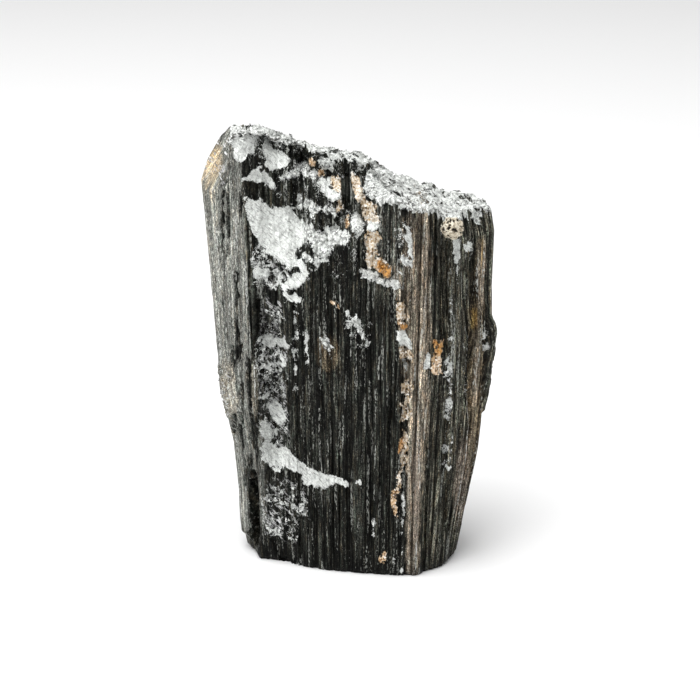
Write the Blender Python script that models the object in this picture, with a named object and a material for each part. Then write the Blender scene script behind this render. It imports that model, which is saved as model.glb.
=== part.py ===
"""A raw black tourmaline crystal: one upright, ribbed prism with a broken head and a chipped front left edge.

The prism is a loft between unlike sections, whose corners stand at CORNERS. Everything broken away from it is
a depth in from that loft: ledges step back as they rise, pits are hollows and lumps, and ribs run the whole
height. The stone grew in one piece, so it is one solid. Lengths are in millimetres until the mesh is written.
"""

import bmesh
import bpy
import numpy as np

MM = 0.001

# The prism's corners, anticlockwise from the left edge: name, foot (x, y), head (x, y).
HEAD_LEVEL = 67.0
CORNERS = [
    ("left edge", (-19.3, -2.3), (-25.3, -1.6)),
    ("front left edge", (-15.9, -8.0), (-17.9, -7.6)),
    ("front bend", (-3.5, -12.6), (-4.0, -12.9)),
    ("pale column left", (8.1, -14.6), (8.6, -14.0)),
    ("pale column right", (11.8, -13.9), (13.4, -13.2)),
    ("front right edge", (16.6, -10.6), (18.2, -10.2)),
    ("right edge", (19.1, -4.9), (24.9, -3.4)),
    ("back right edge", (17.0, 5.0), (22.4, 5.6)),
    ("back bend", (10.5, 11.6), (13.0, 12.6)),
    ("back", (-2.5, 14.0), (-3.0, 14.6)),
    ("back left bend", (-13.0, 10.2), (-16.0, 10.8)),
    ("back left edge", (-18.0, 3.6), (-23.4, 4.2)),
]
CORNER_ROUNDING = 1.1
# How far the left and right edges stand out from the straight loft: level, distance.
LEFT_SWELL = [
    (0, 0.1), (5, 0.2), (12, -0.2), (20, -0.2), (24, 0.2), (28, 0.8), (32, 1.1), (37, 0.9), (54, 0.4),
    (67, 0.2),
]
RIGHT_SWELL = [
    (0, 0.0), (8, 0.6), (15, 1.3), (20, 1.7), (30, 1.8), (42, 1.7), (50, 0.9), (60, 0.3), (66, -1.2),
]

# The middle wall that every depth is measured towards.
WALL_HALF_LENGTH = 13.5
WALL_FOOT_Y, WALL_HEAD_Y = 0.5, 4.5
LEAST_THICKNESS = 1.2
HEAD_MIDDLE_Y = 6.0
# The stone is made this much too long at the foot and then sawn flat at level 0.
SAWN_OFF = 1.15
FOOT_MIDDLE = (0.02, -0.17)
SAW_BLOCK = 80.0

# The skyline of the broken head as x, level, and how far the head falls a millimetre to either side of it.
SKYLINE = [
    (-25.8, 66.6), (-24.2, 71.3), (-21.9, 75.4), (-20.1, 77.2), (-18.6, 77.7), (-14.6, 77.2), (-10.5, 75.5),
    (-4.4, 73.9), (1.7, 72.8), (5.8, 70.6), (9.8, 68.3), (13.9, 66.9), (15.3, 65.9), (16.4, 65.2),
    (20.2, 64.9), (23.6, 63.4), (25.0, 61.8),
]
BACK_FALL, FRONT_FALL = 0.40, 0.06
SKYLINE_Y = 1.0
# The broken column tops of the head: how wide and deep each is, and how far they step down at most.
COLUMN_TOP_WIDTH, COLUMN_TOP_DEPTH = 2.7, 2.2
COLUMN_TOP_STEP = 1.1
# The chamfer of the head's left corner: the x of its right edge, its low corner, and its rise along x and y.
CHAMFER_EDGE = -20.4
CHAMFER_CORNER = (-24.5, -2.2, 67.0)
CHAMFER_RISE = 1.44

# Ledges of the front face, from left to right: x, foot level, head level, how far it steps back.
FRONT_LEDGES = {
    "wavy shelf": [
        (-16.0, 20.0, 21.0, 0.0), (-15.2, 19.0, 20.9, 2.2), (-14.2, 17.7, 20.5, 3.4),
        (-12.4, 17.4, 20.3, 3.4), (-11.0, 19.1, 20.5, 2.8), (-9.4, 18.6, 19.8, 2.3),
        (-8.3, 16.6, 18.9, 2.0), (-6.6, 15.4, 18.3, 1.6), (-4.0, 15.4, 17.7, 1.2),
        (-1.7, 16.6, 18.0, 0.8), (0.0, 16.9, 17.3, 0.0),
    ],
    "scoop mouth": [
        (-15.9, 22.0, 24.0, 0.0), (-15.0, 22.0, 24.0, 0.8), (-11.4, 22.0, 24.0, 0.6),
        (-10.6, 22.0, 24.0, 0.0),
    ],
    "scoop facet": [
        (-15.9, 25.0, 28.0, 0.0), (-14.8, 25.5, 28.5, 0.9), (-11.6, 25.0, 27.6, 0.7),
        (-10.8, 25.0, 27.0, 0.0),
    ],
    "scoop streak": [
        (-15.9, 36.0, 37.6, 0.0), (-14.6, 35.6, 37.2, 0.8), (-11.2, 33.8, 35.2, 0.6),
        (-10.4, 33.0, 34.0, 0.0),
    ],
    "scoop return": [
        (-16.2, 29.0, 38.0, 0.0), (-15.2, 29.0, 38.0, -2.2), (-14.2, 29.0, 38.0, -3.8),
        (-12.0, 28.4, 38.0, -3.4), (-10.0, 28.0, 38.0, -1.8), (-8.0, 27.0, 38.0, -1.1),
        (0.0, 26.0, 40.0, -0.4), (2.0, 26.0, 40.0, 0.0),
    ],
    "twin lumps": [
        (-15.2, 39.2, 41.4, 0.0), (-14.2, 39.2, 41.4, 1.2), (-11.4, 39.4, 41.6, 1.0),
        (-10.6, 39.4, 41.4, 0.0),
    ],
    "scoop roof": [
        (-16.4, 42.0, 49.0, 0.0), (-15.2, 42.0, 49.0, -2.2), (-14.2, 42.0, 49.0, -3.2),
        (-12.0, 42.0, 49.0, -2.9), (-10.0, 42.0, 48.0, -1.5), (-7.6, 43.0, 48.0, -0.5),
        (-6.0, 43.0, 48.0, 0.0),
    ],
    "small ledge": [
        (-11.6, 49.0, 49.8, 0.0), (-10.8, 49.1, 50.0, 0.8), (-8.6, 49.1, 50.2, 0.9),
        (-7.9, 49.2, 50.0, 0.0),
    ],
    "chip ledge": [
        (-17.2, 52.6, 54.4, 0.0), (-16.4, 52.4, 54.5, 0.8), (-13.9, 52.3, 54.4, 1.0),
        (-11.0, 51.2, 53.8, 1.2), (-8.4, 52.3, 54.2, 1.0), (-7.2, 52.8, 54.2, 0.0),
    ],
    "great facet": [
        (-18.0, 65.3, 66.5, 0.0), (-16.8, 62.4, 66.2, 1.6), (-15.5, 59.2, 65.3, 2.6),
        (-13.5, 57.3, 64.3, 3.6), (-11.3, 55.7, 63.6, 4.6), (-9.9, 54.9, 63.0, 5.2),
        (-8.5, 54.9, 61.4, 4.6), (-7.6, 55.2, 59.4, 2.6), (-6.6, 55.8, 57.2, 0.0),
    ],
    "knobbly ledge": [
        (-8.6, 59.0, 61.9, 0.0), (-7.4, 58.8, 61.8, 1.6), (-4.0, 58.9, 61.4, 2.6),
        (-1.4, 59.6, 62.0, 2.6), (-0.2, 60.6, 62.0, 1.0), (0.6, 61.0, 62.0, 0.0),
    ],
    "streaked ledge": [
        (-9.4, 63.2, 65.8, 0.0), (-8.0, 63.2, 65.8, 2.2), (-4.4, 63.4, 65.4, 1.2),
        (-3.0, 64.0, 65.0, 0.0),
    ],
    "vein ledge": [
        (-2.0, 62.6, 64.2, 0.0), (-0.4, 62.5, 64.2, 2.6), (2.6, 62.7, 64.1, 2.4),
        (4.6, 62.9, 64.1, 1.3), (5.4, 63.1, 64.1, 0.0),
    ],
    "slanting facet": [
        (-17.0, 69.0, 70.0, 0.0), (-16.0, 68.4, 70.0, 1.4), (-12.7, 66.7, 68.6, 1.4),
        (-11.4, 66.4, 68.0, 0.0),
    ],
    "left block": [
        (-17.6, 65.6, 66.8, 0.0), (-17.0, 65.6, 66.8, 0.8), (-14.6, 65.0, 66.4, 0.8),
        (-13.6, 65.0, 66.0, 0.0),
    ],
    "upper facet": [
        (-15.6, 73.4, 75.0, 0.0), (-14.4, 72.6, 74.4, 2.0), (-10.4, 69.9, 72.2, 2.2),
        (-8.8, 69.6, 71.4, 0.0),
    ],
    "middle ledge": [
        (-10.0, 69.6, 70.8, 0.0), (-9.0, 69.6, 70.9, 4.4), (-6.6, 69.8, 71.0, 5.0),
        (-4.6, 67.4, 69.0, 5.8), (-2.4, 67.4, 69.4, 6.4), (2.4, 67.4, 69.6, 7.0),
        (4.0, 67.6, 69.6, 7.4), (6.4, 67.8, 69.8, 7.0), (8.4, 68.4, 69.8, 5.0),
    ],
    "peak facet": [
        (-20.2, 75.6, 77.4, 0.0), (-19.2, 74.9, 77.6, 2.4), (-16.8, 72.6, 77.2, 6.4),
        (-14.0, 74.2, 76.9, 3.0), (-11.6, 73.6, 76.2, 1.6), (-10.4, 73.4, 76.0, 0.0),
    ],
    "lower vein ledge": [
        (1.2, 56.0, 56.6, 0.0), (1.9, 55.6, 56.6, 0.9), (2.6, 54.6, 55.9, 1.3), (5.0, 53.8, 55.0, 1.2),
        (8.2, 53.0, 54.0, 0.8), (9.0, 53.0, 53.8, 0.0),
    ],
    "slanting crack": [
        (-4.0, 50.8, 51.2, 0.0), (-3.2, 50.0, 50.9, 0.5), (-0.4, 47.6, 49.2, 0.7),
        (2.2, 43.8, 45.4, 0.5), (3.0, 43.2, 44.2, 0.0),
    ],
    "brown patch": [
        (-5.6, 41.6, 43.8, 0.0), (-4.8, 41.6, 43.8, 0.5), (-1.9, 40.2, 42.0, 0.5),
        (-1.2, 40.2, 41.6, 0.0),
    ],
}

# Ledges of the back face, in the same form: a long spall and two short breaks.
BACK_LEDGES = {
    "spall foot": [
        (-14.0, 24.0, 26.0, 0.0), (-11.0, 22.5, 25.5, 1.6), (-4.0, 20.0, 23.0, 2.0),
        (3.0, 21.5, 23.5, 1.4), (6.0, 22.0, 23.0, 0.0),
    ],
    "spall head": [
        (-14.0, 44.0, 52.0, 0.0), (-11.0, 44.0, 52.0, -1.2), (-4.0, 42.0, 50.0, -1.6),
        (3.0, 44.0, 50.0, -1.2), (6.0, 44.0, 50.0, 0.0),
    ],
    "back shoulder": [
        (-16.0, 60.0, 64.0, 0.0), (-12.0, 59.0, 63.0, 2.6), (-2.0, 61.0, 64.5, 3.4),
        (6.0, 57.5, 60.0, 2.8), (12.0, 55.0, 57.0, 1.8), (16.0, 55.0, 56.0, 0.0),
    ],
    "right break": [
        (4.0, 34.0, 35.0, 0.0), (8.0, 33.0, 35.0, 1.1), (13.0, 34.5, 36.5, 1.4),
        (17.0, 36.0, 37.0, 0.0),
    ],
}

# Hollows (depth over 0) and lumps (under 0) of the front: x, level, half width, half height, depth.
FRONT_PITS = {
    "dark pocket": (-15.5, 45.4, 1.0, 4.2, 2.4),
    "lower cleft": (-17.0, 9.4, 1.1, 8.0, 3.2),
    "foot chip": (-12.6, 1.6, 3.6, 3.0, 0.5),
    "foot corner": (-19.8, 0.0, 3.6, 3.4, 0.7),
    "left groove": (-20.9, 62.0, 0.9, 11.0, 0.9),
    "left lower groove": (-19.0, 36.0, 0.7, 16.0, 0.8),
    "vein groove": (9.2, 34.0, 0.7, 20.0, 0.7),
    "column groove": (12.9, 14.0, 0.6, 14.0, 0.9),
    "right groove": (15.9, 51.0, 0.9, 11.0, 1.7),
    "upper right groove": (14.0, 61.0, 0.5, 8.0, 1.0),
    "far right groove": (20.4, 44.0, 0.8, 18.0, 1.1),
    "lower right groove": (16.4, 18.0, 0.7, 14.0, 0.8),
    "knob": (16.8, 62.3, 2.0, 2.2, -0.9),
    "pale column": (11.4, 30.0, 1.6, 42.0, -0.5),
    "side blade": (24.4, 33.0, 1.6, 12.2, -1.1),
}

# Ribs: how many go round, how deep they are cut, how long each runs before it breaks, and their seed.
RIB_SETS = ((36, 0.75, 31.0, 3), (92, 0.42, 17.0, 5))
RIB_FLANK = 0.22
RIB_LEAST_HEIGHT = 0.35
# The jags of every edge: how far each of two sizes of them reaches, how many go round, and how tall each is.
JAGS = ((0.35, 110, 2.3, 11), (0.12, 260, 1.1, 12))
# The roughness of the hollows, and how much shallower every depth is made so that the ribs keep the outline.
ROUGHNESS = 0.35
ROUGHNESS_CELLS, ROUGHNESS_PITCH = 64, 2.6
RIB_ALLOWANCE = 0.7
# The grown skin is worn away towards the foot: from this level down the ribs are shallower.
WORN_FOOT_LEVEL = 7.0

# The grid that the surface is worked out on, and the share of its faces that the finished solid keeps.
AROUND, SIDE_ROWS, CAP_ROWS = 300, 150, 16
KEPT_FACES = 0.088


def chance(i, j, seed):
    """A fixed pseudo-random number from 0 to 1 for each pair of whole numbers."""
    n = (i.astype(np.int64) * 374761393 + j.astype(np.int64) * 668265263 + seed * 2147483647) & 0xFFFFFFFF
    n = ((n ^ (n >> 13)) * 1274126177) & 0xFFFFFFFF
    return ((n ^ (n >> 16)) & 0xFFFF) / 65535.0


def soft(t):
    """0 to 1 with a level start and end."""
    t = np.clip(t, 0.0, 1.0)
    return t * t * (3.0 - 2.0 * t)


def waves(u, z, count, pitch, seed):
    """Smooth noise from -1 to 1 that closes on itself, `count` cells round the prism and `pitch` mm tall."""
    a, b = u * count, z / pitch
    i, j = np.floor(a), np.floor(b)
    s, t = soft(a - i), soft(b - j)
    low = chance(i % count, j, seed) * (1 - s) + chance((i + 1) % count, j, seed) * s
    high = chance(i % count, j + 1, seed) * (1 - s) + chance((i + 1) % count, j + 1, seed) * s
    return 2.0 * (low * (1 - t) + high * t) - 1.0


def along(table, x, column):
    """One column of a ledge's table, read off at x, and 0 past its ends."""
    rows = np.array(table, float)
    ends = {} if column < 3 else {"left": 0.0, "right": 0.0}
    return np.interp(x, rows[:, 0], rows[:, column], **ends)


def loft(u, z):
    """The unbroken prism: the point at share u of the way round at level z. The corners' straight posts are
    joined by flat faces, and averaging over a short stretch of the perimeter rounds the edges."""
    foot = np.array([c[1] for c in CORNERS])
    head = np.array([c[2] for c in CORNERS])
    middle = np.vstack([(foot + head) / 2, (foot[:1] + head[:1]) / 2])
    lengths = np.hypot(*np.diff(middle, axis=0).T)
    corner_u = np.append(0, np.cumsum(lengths)) / lengths.sum()
    reach = CORNER_ROUNDING / lengths.sum()
    x, y = np.zeros_like(u), np.zeros_like(u)
    rise = z / HEAD_LEVEL
    for shift, weight in ((-1.0, 0.25), (0.0, 0.5), (1.0, 0.25)):
        at = (u + shift * reach) % 1.0
        for total, axis in ((x, 0), (y, 1)):
            ends = [np.interp(at, corner_u, np.append(post[:, axis], post[0, axis])) for post in (foot, head)]
            total += weight * (ends[0] + (ends[1] - ends[0]) * rise)
    left = soft((-x - 12.0) / 8.0)
    right = soft((x - 12.0) / 7.0)
    x -= left * np.interp(z, *np.array(LEFT_SWELL, float).T)
    x += right * np.interp(z, *np.array(RIGHT_SWELL, float).T)
    return x, y


def wall(x, z):
    """The nearest point of the middle wall, which the depths run towards."""
    wall_x = np.clip(x, -WALL_HALF_LENGTH, WALL_HALF_LENGTH)
    return wall_x, WALL_FOOT_Y + (WALL_HEAD_Y - WALL_FOOT_Y) * z / HEAD_LEVEL


def ledges(tables, x, z):
    """The sum of the steps below level z, each growing evenly from its foot to its head, and how far the point
    is on a fresh break rather than on grown ribs."""
    depth, broken = np.zeros_like(x), np.zeros_like(x)
    for table in tables.values():
        foot, head = along(table, x, 1), along(table, x, 2)
        step, t = along(table, x, 3), (z - foot) / (head - foot)
        depth += step * np.clip(t, 0.0, 1.0)
        broken = np.maximum(broken, soft((t + 0.1) / 0.2) * soft((1.1 - t) / 0.2) * soft(step / 0.8))
    return depth, broken


def pits(table, x, z):
    """The sum of the hollows and lumps, each deepest in its middle and rounded off towards its outline."""
    depth = np.zeros_like(x)
    for px, pz, half_width, half_height, deep in table.values():
        distance = np.abs((x - px) / half_width) ** 2.5 + np.abs((z - pz) / half_height) ** 4
        depth += deep * soft(1.35 * (1.0 - distance))
    return depth


def ribs(u, z, count, run, seed):
    """Flat-topped ribs from 0, in the grooves, to 1. Each changes height where its run breaks."""
    place = u * count + 0.45 * waves(u, z * 0, count // 2, 1.0, seed)
    i = np.floor(place)
    t = place - i
    j = np.floor(z / run + chance(i % count, i * 0, seed + 1))
    height = RIB_LEAST_HEIGHT + (1.0 - RIB_LEAST_HEIGHT) * chance(i % count, j, seed + 2)
    return height * soft(t / RIB_FLANK) * soft((1 - t) / RIB_FLANK)


def side_depth(u, x, y, z):
    """How far the side lies in from the loft."""
    ragged = sum(reach * waves(u, z, count, pitch, seed) for reach, count, pitch, seed in JAGS)
    front = y < WALL_FOOT_Y
    front_depth, front_broken = ledges(FRONT_LEDGES, x + ragged, z + 0.6 * ragged)
    back_depth, back_broken = ledges(BACK_LEDGES, x + 2 * ragged, z + ragged)
    depth = np.where(front, front_depth + pits(FRONT_PITS, x + 0.5 * ragged, z), back_depth)
    broken = np.where(front, front_broken, back_broken)
    ribbed = (1.0 - 0.9 * broken) * (0.4 + 0.6 * soft(z / WORN_FOOT_LEVEL))
    for count, deep, run, seed in RIB_SETS:
        depth = depth + deep * (0.5 + (0.5 - ribs(u, z, count, run, seed)) * ribbed)
    rough = ROUGHNESS * waves(u, z, ROUGHNESS_CELLS, ROUGHNESS_PITCH, 13)
    depth += rough * soft(depth / 3.0) * (1.0 - 0.6 * broken)
    return depth - RIB_ALLOWANCE + 0.5 * soft(1.0 - z)


def head_level(x, y):
    """The level of the broken head over a point of the plan: the skyline, falling to the back, in column
    tops, and cut down on the left by the chamfer's sloping plane."""
    level = np.interp(x, *np.array(SKYLINE).T)
    level -= BACK_FALL * np.maximum(y - SKYLINE_Y, 0) + FRONT_FALL * np.maximum(SKYLINE_Y - y, 0)
    i = np.floor(x / COLUMN_TOP_WIDTH + 0.4 * np.sin(y * 0.9))
    j = np.floor(y / COLUMN_TOP_DEPTH + 0.5 * np.sin(x * 0.7))
    stepped = (0.35 + 0.65 * soft((y + 4.0) / 5.0)) * soft((x + 24) / 3)
    level -= COLUMN_TOP_STEP * chance(i, j, 21) * stepped
    corner_x, corner_y, corner_z = CHAMFER_CORNER
    chamfer = corner_z + CHAMFER_RISE * (x - corner_x + y - corner_y)
    off_chamfer = soft((x - CHAMFER_EDGE) / 0.3)
    return level * off_chamfer + np.minimum(level, chamfer) * (1.0 - off_chamfer)


def side_point(u, z):
    """The point of the side at share u round and level z: the loft, cut back towards the middle wall."""
    x, y = loft(u, z)
    wx, wy = wall(x, z)
    span = np.hypot(x - wx, y - wy)
    kept = 1.0 - np.minimum(side_depth(u, x, y, z), span - LEAST_THICKNESS) / span
    return wx + (x - wx) * kept, wy + (y - wy) * kept


def rim_level(u):
    """The level at which the side meets the broken head, closed in on by repeated halving of the error."""
    z = np.full_like(u, 60.0)
    for _ in range(40):
        z += 0.5 * (head_level(*side_point(u, z)) - z)
    return z


def stone_points(u, row):
    """Every point of the surface: row 0 is the middle of the foot, and the foot, side and head follow."""
    foot_rows, side_rows = CAP_ROWS, CAP_ROWS + SIDE_ROWS
    rim = rim_level(u)
    z = (rim + SAWN_OFF) * np.clip((row - foot_rows) / SIDE_ROWS, 0.0, 1.0) - SAWN_OFF
    inward = np.clip(1.0 - row / foot_rows, 0.0, 1.0) + np.clip((row - side_rows) / CAP_ROWS, 0.0, 1.0)
    x, y = side_point(u, z)
    x = x * (1.0 - inward)
    y += (np.where(row > side_rows, HEAD_MIDDLE_Y, 0.0) - y) * inward
    z = np.where(row > side_rows, head_level(x, y), z)
    return np.stack([x - FOOT_MIDDLE[0], y - FOOT_MIDDLE[1], z], axis=1)


def build_crystal(collection):
    """A flat grid is wrapped round the prism: its width goes round and its height goes from foot to head."""
    grid = bmesh.new()
    rows = SIDE_ROWS + 2 * CAP_ROWS
    bmesh.ops.create_grid(grid, x_segments=AROUND, y_segments=rows, size=0.5)
    mesh = bpy.data.meshes.new("crystal")
    grid.to_mesh(mesh)
    flat = np.empty(len(mesh.vertices) * 3)
    mesh.vertices.foreach_get("co", flat)
    flat = flat.reshape(-1, 3) + 0.5
    u = np.round(flat[:, 0] * AROUND) / AROUND % 1.0
    points = stone_points(u, np.round(flat[:, 1] * rows)) * MM
    mesh.vertices.foreach_set("co", points.ravel())
    grid.clear()
    grid.from_mesh(mesh)
    bmesh.ops.remove_doubles(grid, verts=grid.verts, dist=0.01 * MM)
    bmesh.ops.recalc_face_normals(grid, faces=grid.faces)
    grid.to_mesh(mesh)
    grid.free()
    crystal = bpy.data.objects.new("crystal", mesh)
    collection.objects.link(crystal)
    facets = crystal.modifiers.new("facets", "DECIMATE")
    facets.ratio = KEPT_FACES
    return crystal


def saw_foot_flat(crystal, cutters):
    """The saw takes away everything below level 0, which leaves one flat face to stand on."""
    block = bmesh.new()
    bmesh.ops.create_cube(block, size=SAW_BLOCK * MM)
    bmesh.ops.translate(block, verts=block.verts, vec=(0, 0, -SAW_BLOCK / 2 * MM))
    mesh = bpy.data.meshes.new("saw_block")
    block.to_mesh(mesh)
    block.free()
    saw = bpy.data.objects.new("saw_block", mesh)
    saw.hide_render = True
    saw.display_type = "WIRE"
    cutters.objects.link(saw)
    cut = crystal.modifiers.new("sawn foot", "BOOLEAN")
    cut.operation = "DIFFERENCE"
    cut.solver = "EXACT"
    cut.object = saw


def black_tourmaline():
    material = bpy.data.materials.new("black_tourmaline")
    material.use_nodes = True
    shader = material.node_tree.nodes["Principled BSDF"]
    shader.inputs["Base Color"].default_value = (0.035, 0.036, 0.034, 1.0)
    shader.inputs["Roughness"].default_value = 0.38
    shader.inputs["IOR"].default_value = 1.63
    return material


def main():
    for leftover in list(bpy.data.objects):
        bpy.data.objects.remove(leftover)
    collection = bpy.data.collections.new("tourmaline_crystal")
    cutters = bpy.data.collections.new("cutters")
    for group in (collection, cutters):
        bpy.context.scene.collection.children.link(group)
    crystal = build_crystal(collection)
    saw_foot_flat(crystal, cutters)
    crystal.data.materials.append(black_tourmaline())


main()
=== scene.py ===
"""A raw black tourmaline crystal: the ribbed prism, its broken head, the crumb on it and the stained vein."""

from functools import partial

import bpy
import numpy as np
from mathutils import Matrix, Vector


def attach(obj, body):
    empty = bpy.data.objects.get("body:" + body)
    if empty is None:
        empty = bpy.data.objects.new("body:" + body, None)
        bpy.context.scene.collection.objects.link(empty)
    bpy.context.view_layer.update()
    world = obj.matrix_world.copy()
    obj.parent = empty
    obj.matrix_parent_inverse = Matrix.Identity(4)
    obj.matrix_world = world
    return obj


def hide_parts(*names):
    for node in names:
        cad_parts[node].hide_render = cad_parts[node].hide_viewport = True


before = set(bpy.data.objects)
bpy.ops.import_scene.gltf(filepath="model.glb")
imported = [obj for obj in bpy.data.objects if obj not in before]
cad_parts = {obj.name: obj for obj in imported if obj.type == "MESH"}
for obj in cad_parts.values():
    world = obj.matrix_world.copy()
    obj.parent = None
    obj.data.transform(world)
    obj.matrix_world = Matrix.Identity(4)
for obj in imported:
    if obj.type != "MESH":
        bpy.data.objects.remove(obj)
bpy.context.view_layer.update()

# --------------------------------------------------------------------------------------------------------
# The crystal: one upright prism of schorl, black and glassy on its grown ribs, grey where the ribs are
# worn, and pale where it is freshly broken: frosted, with a painted sheen. It grew in one piece and stands on
# its sawn foot.
# Lengths here are in millimetres, and all is worked in from a loft of straight posts, as the solid is.
# --------------------------------------------------------------------------------------------------------
MM = 0.001
HEAD_LEVEL = 67.0
# The prism's posts, anticlockwise from the left edge: foot (x, y), head (x, y).
POSTS = [
    ((-19.3, -2.3), (-25.3, -1.6)),
    ((-15.9, -8.0), (-17.9, -7.6)),
    ((-3.5, -12.6), (-4.0, -12.9)),
    ((8.1, -14.6), (8.6, -14.0)),
    ((11.8, -13.9), (13.4, -13.2)),
    ((16.6, -10.6), (18.2, -10.2)),
    ((19.1, -4.9), (24.9, -3.4)),
    ((17.0, 5.0), (22.4, 5.6)),
    ((10.5, 11.6), (13.0, 12.6)),
    ((-2.5, 14.0), (-3.0, 14.6)),
    ((-13.0, 10.2), (-16.0, 10.8)),
    ((-18.0, 3.6), (-23.4, 4.2)),
]
POST_ROUNDING = 1.1
# How far the left and right edges stand out from the loft (level, distance), and from which x they start to.
LEFT_SWELL = [
    (0, 0.1), (5, 0.2), (12, -0.2), (20, -0.2), (24, 0.2), (28, 0.8), (32, 1.1), (37, 0.9), (54, 0.4),
    (67, 0.2),
]
RIGHT_SWELL = [
    (0, 0.0), (8, 0.6), (15, 1.3), (20, 1.7), (30, 1.8), (42, 1.7), (50, 0.9), (60, 0.3), (66, -1.2),
]
SWELL_START, LEFT_SWELL_REACH, RIGHT_SWELL_REACH = 12.0, 8.0, 7.0
# The middle wall that every depth is measured towards.
WALL_HALF_LENGTH = 13.5
WALL_FOOT_Y, WALL_HEAD_Y = 0.5, 4.5
LEAST_THICKNESS = 1.2
HEAD_MIDDLE_Y = 6.0
FOOT_MIDDLE = (0.02, -0.17)
# The skyline of the broken head as x, level, and how far the head falls a millimetre to either side of it.
SKYLINE = [
    (-25.8, 66.6), (-24.2, 71.3), (-21.9, 75.4), (-20.1, 77.2), (-18.6, 77.7), (-14.6, 77.2), (-10.5, 75.5),
    (-4.4, 73.9), (1.7, 72.8), (5.8, 70.6), (9.8, 68.3), (13.9, 67.2), (15.2, 66.1), (16.4, 65.6),
    (20.2, 65.7), (23.6, 64.7), (25.0, 63.0),
]
BACK_FALL, FRONT_FALL = 0.40, 0.06
SKYLINE_Y = 1.0
# The broken column tops of the head: how wide and deep each is, and how far they step down at most.
COLUMN_TOP_WIDTH, COLUMN_TOP_DEPTH = 2.7, 2.2
COLUMN_TOP_STEP = 1.1
# The chamfer of the head's left corner: the x of its right edge, its low corner, its rise along x and y, and
# the width over which its edge blends.
CHAMFER_EDGE = -20.4
CHAMFER_CORNER = (-24.5, -2.2, 67.0)
CHAMFER_RISE = 1.44
CHAMFER_BLEND = 0.3

# The corners of a break are averaged over these slips along x.
BREAK_ROUNDING = (-0.45, 0.0, 0.45)
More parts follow.
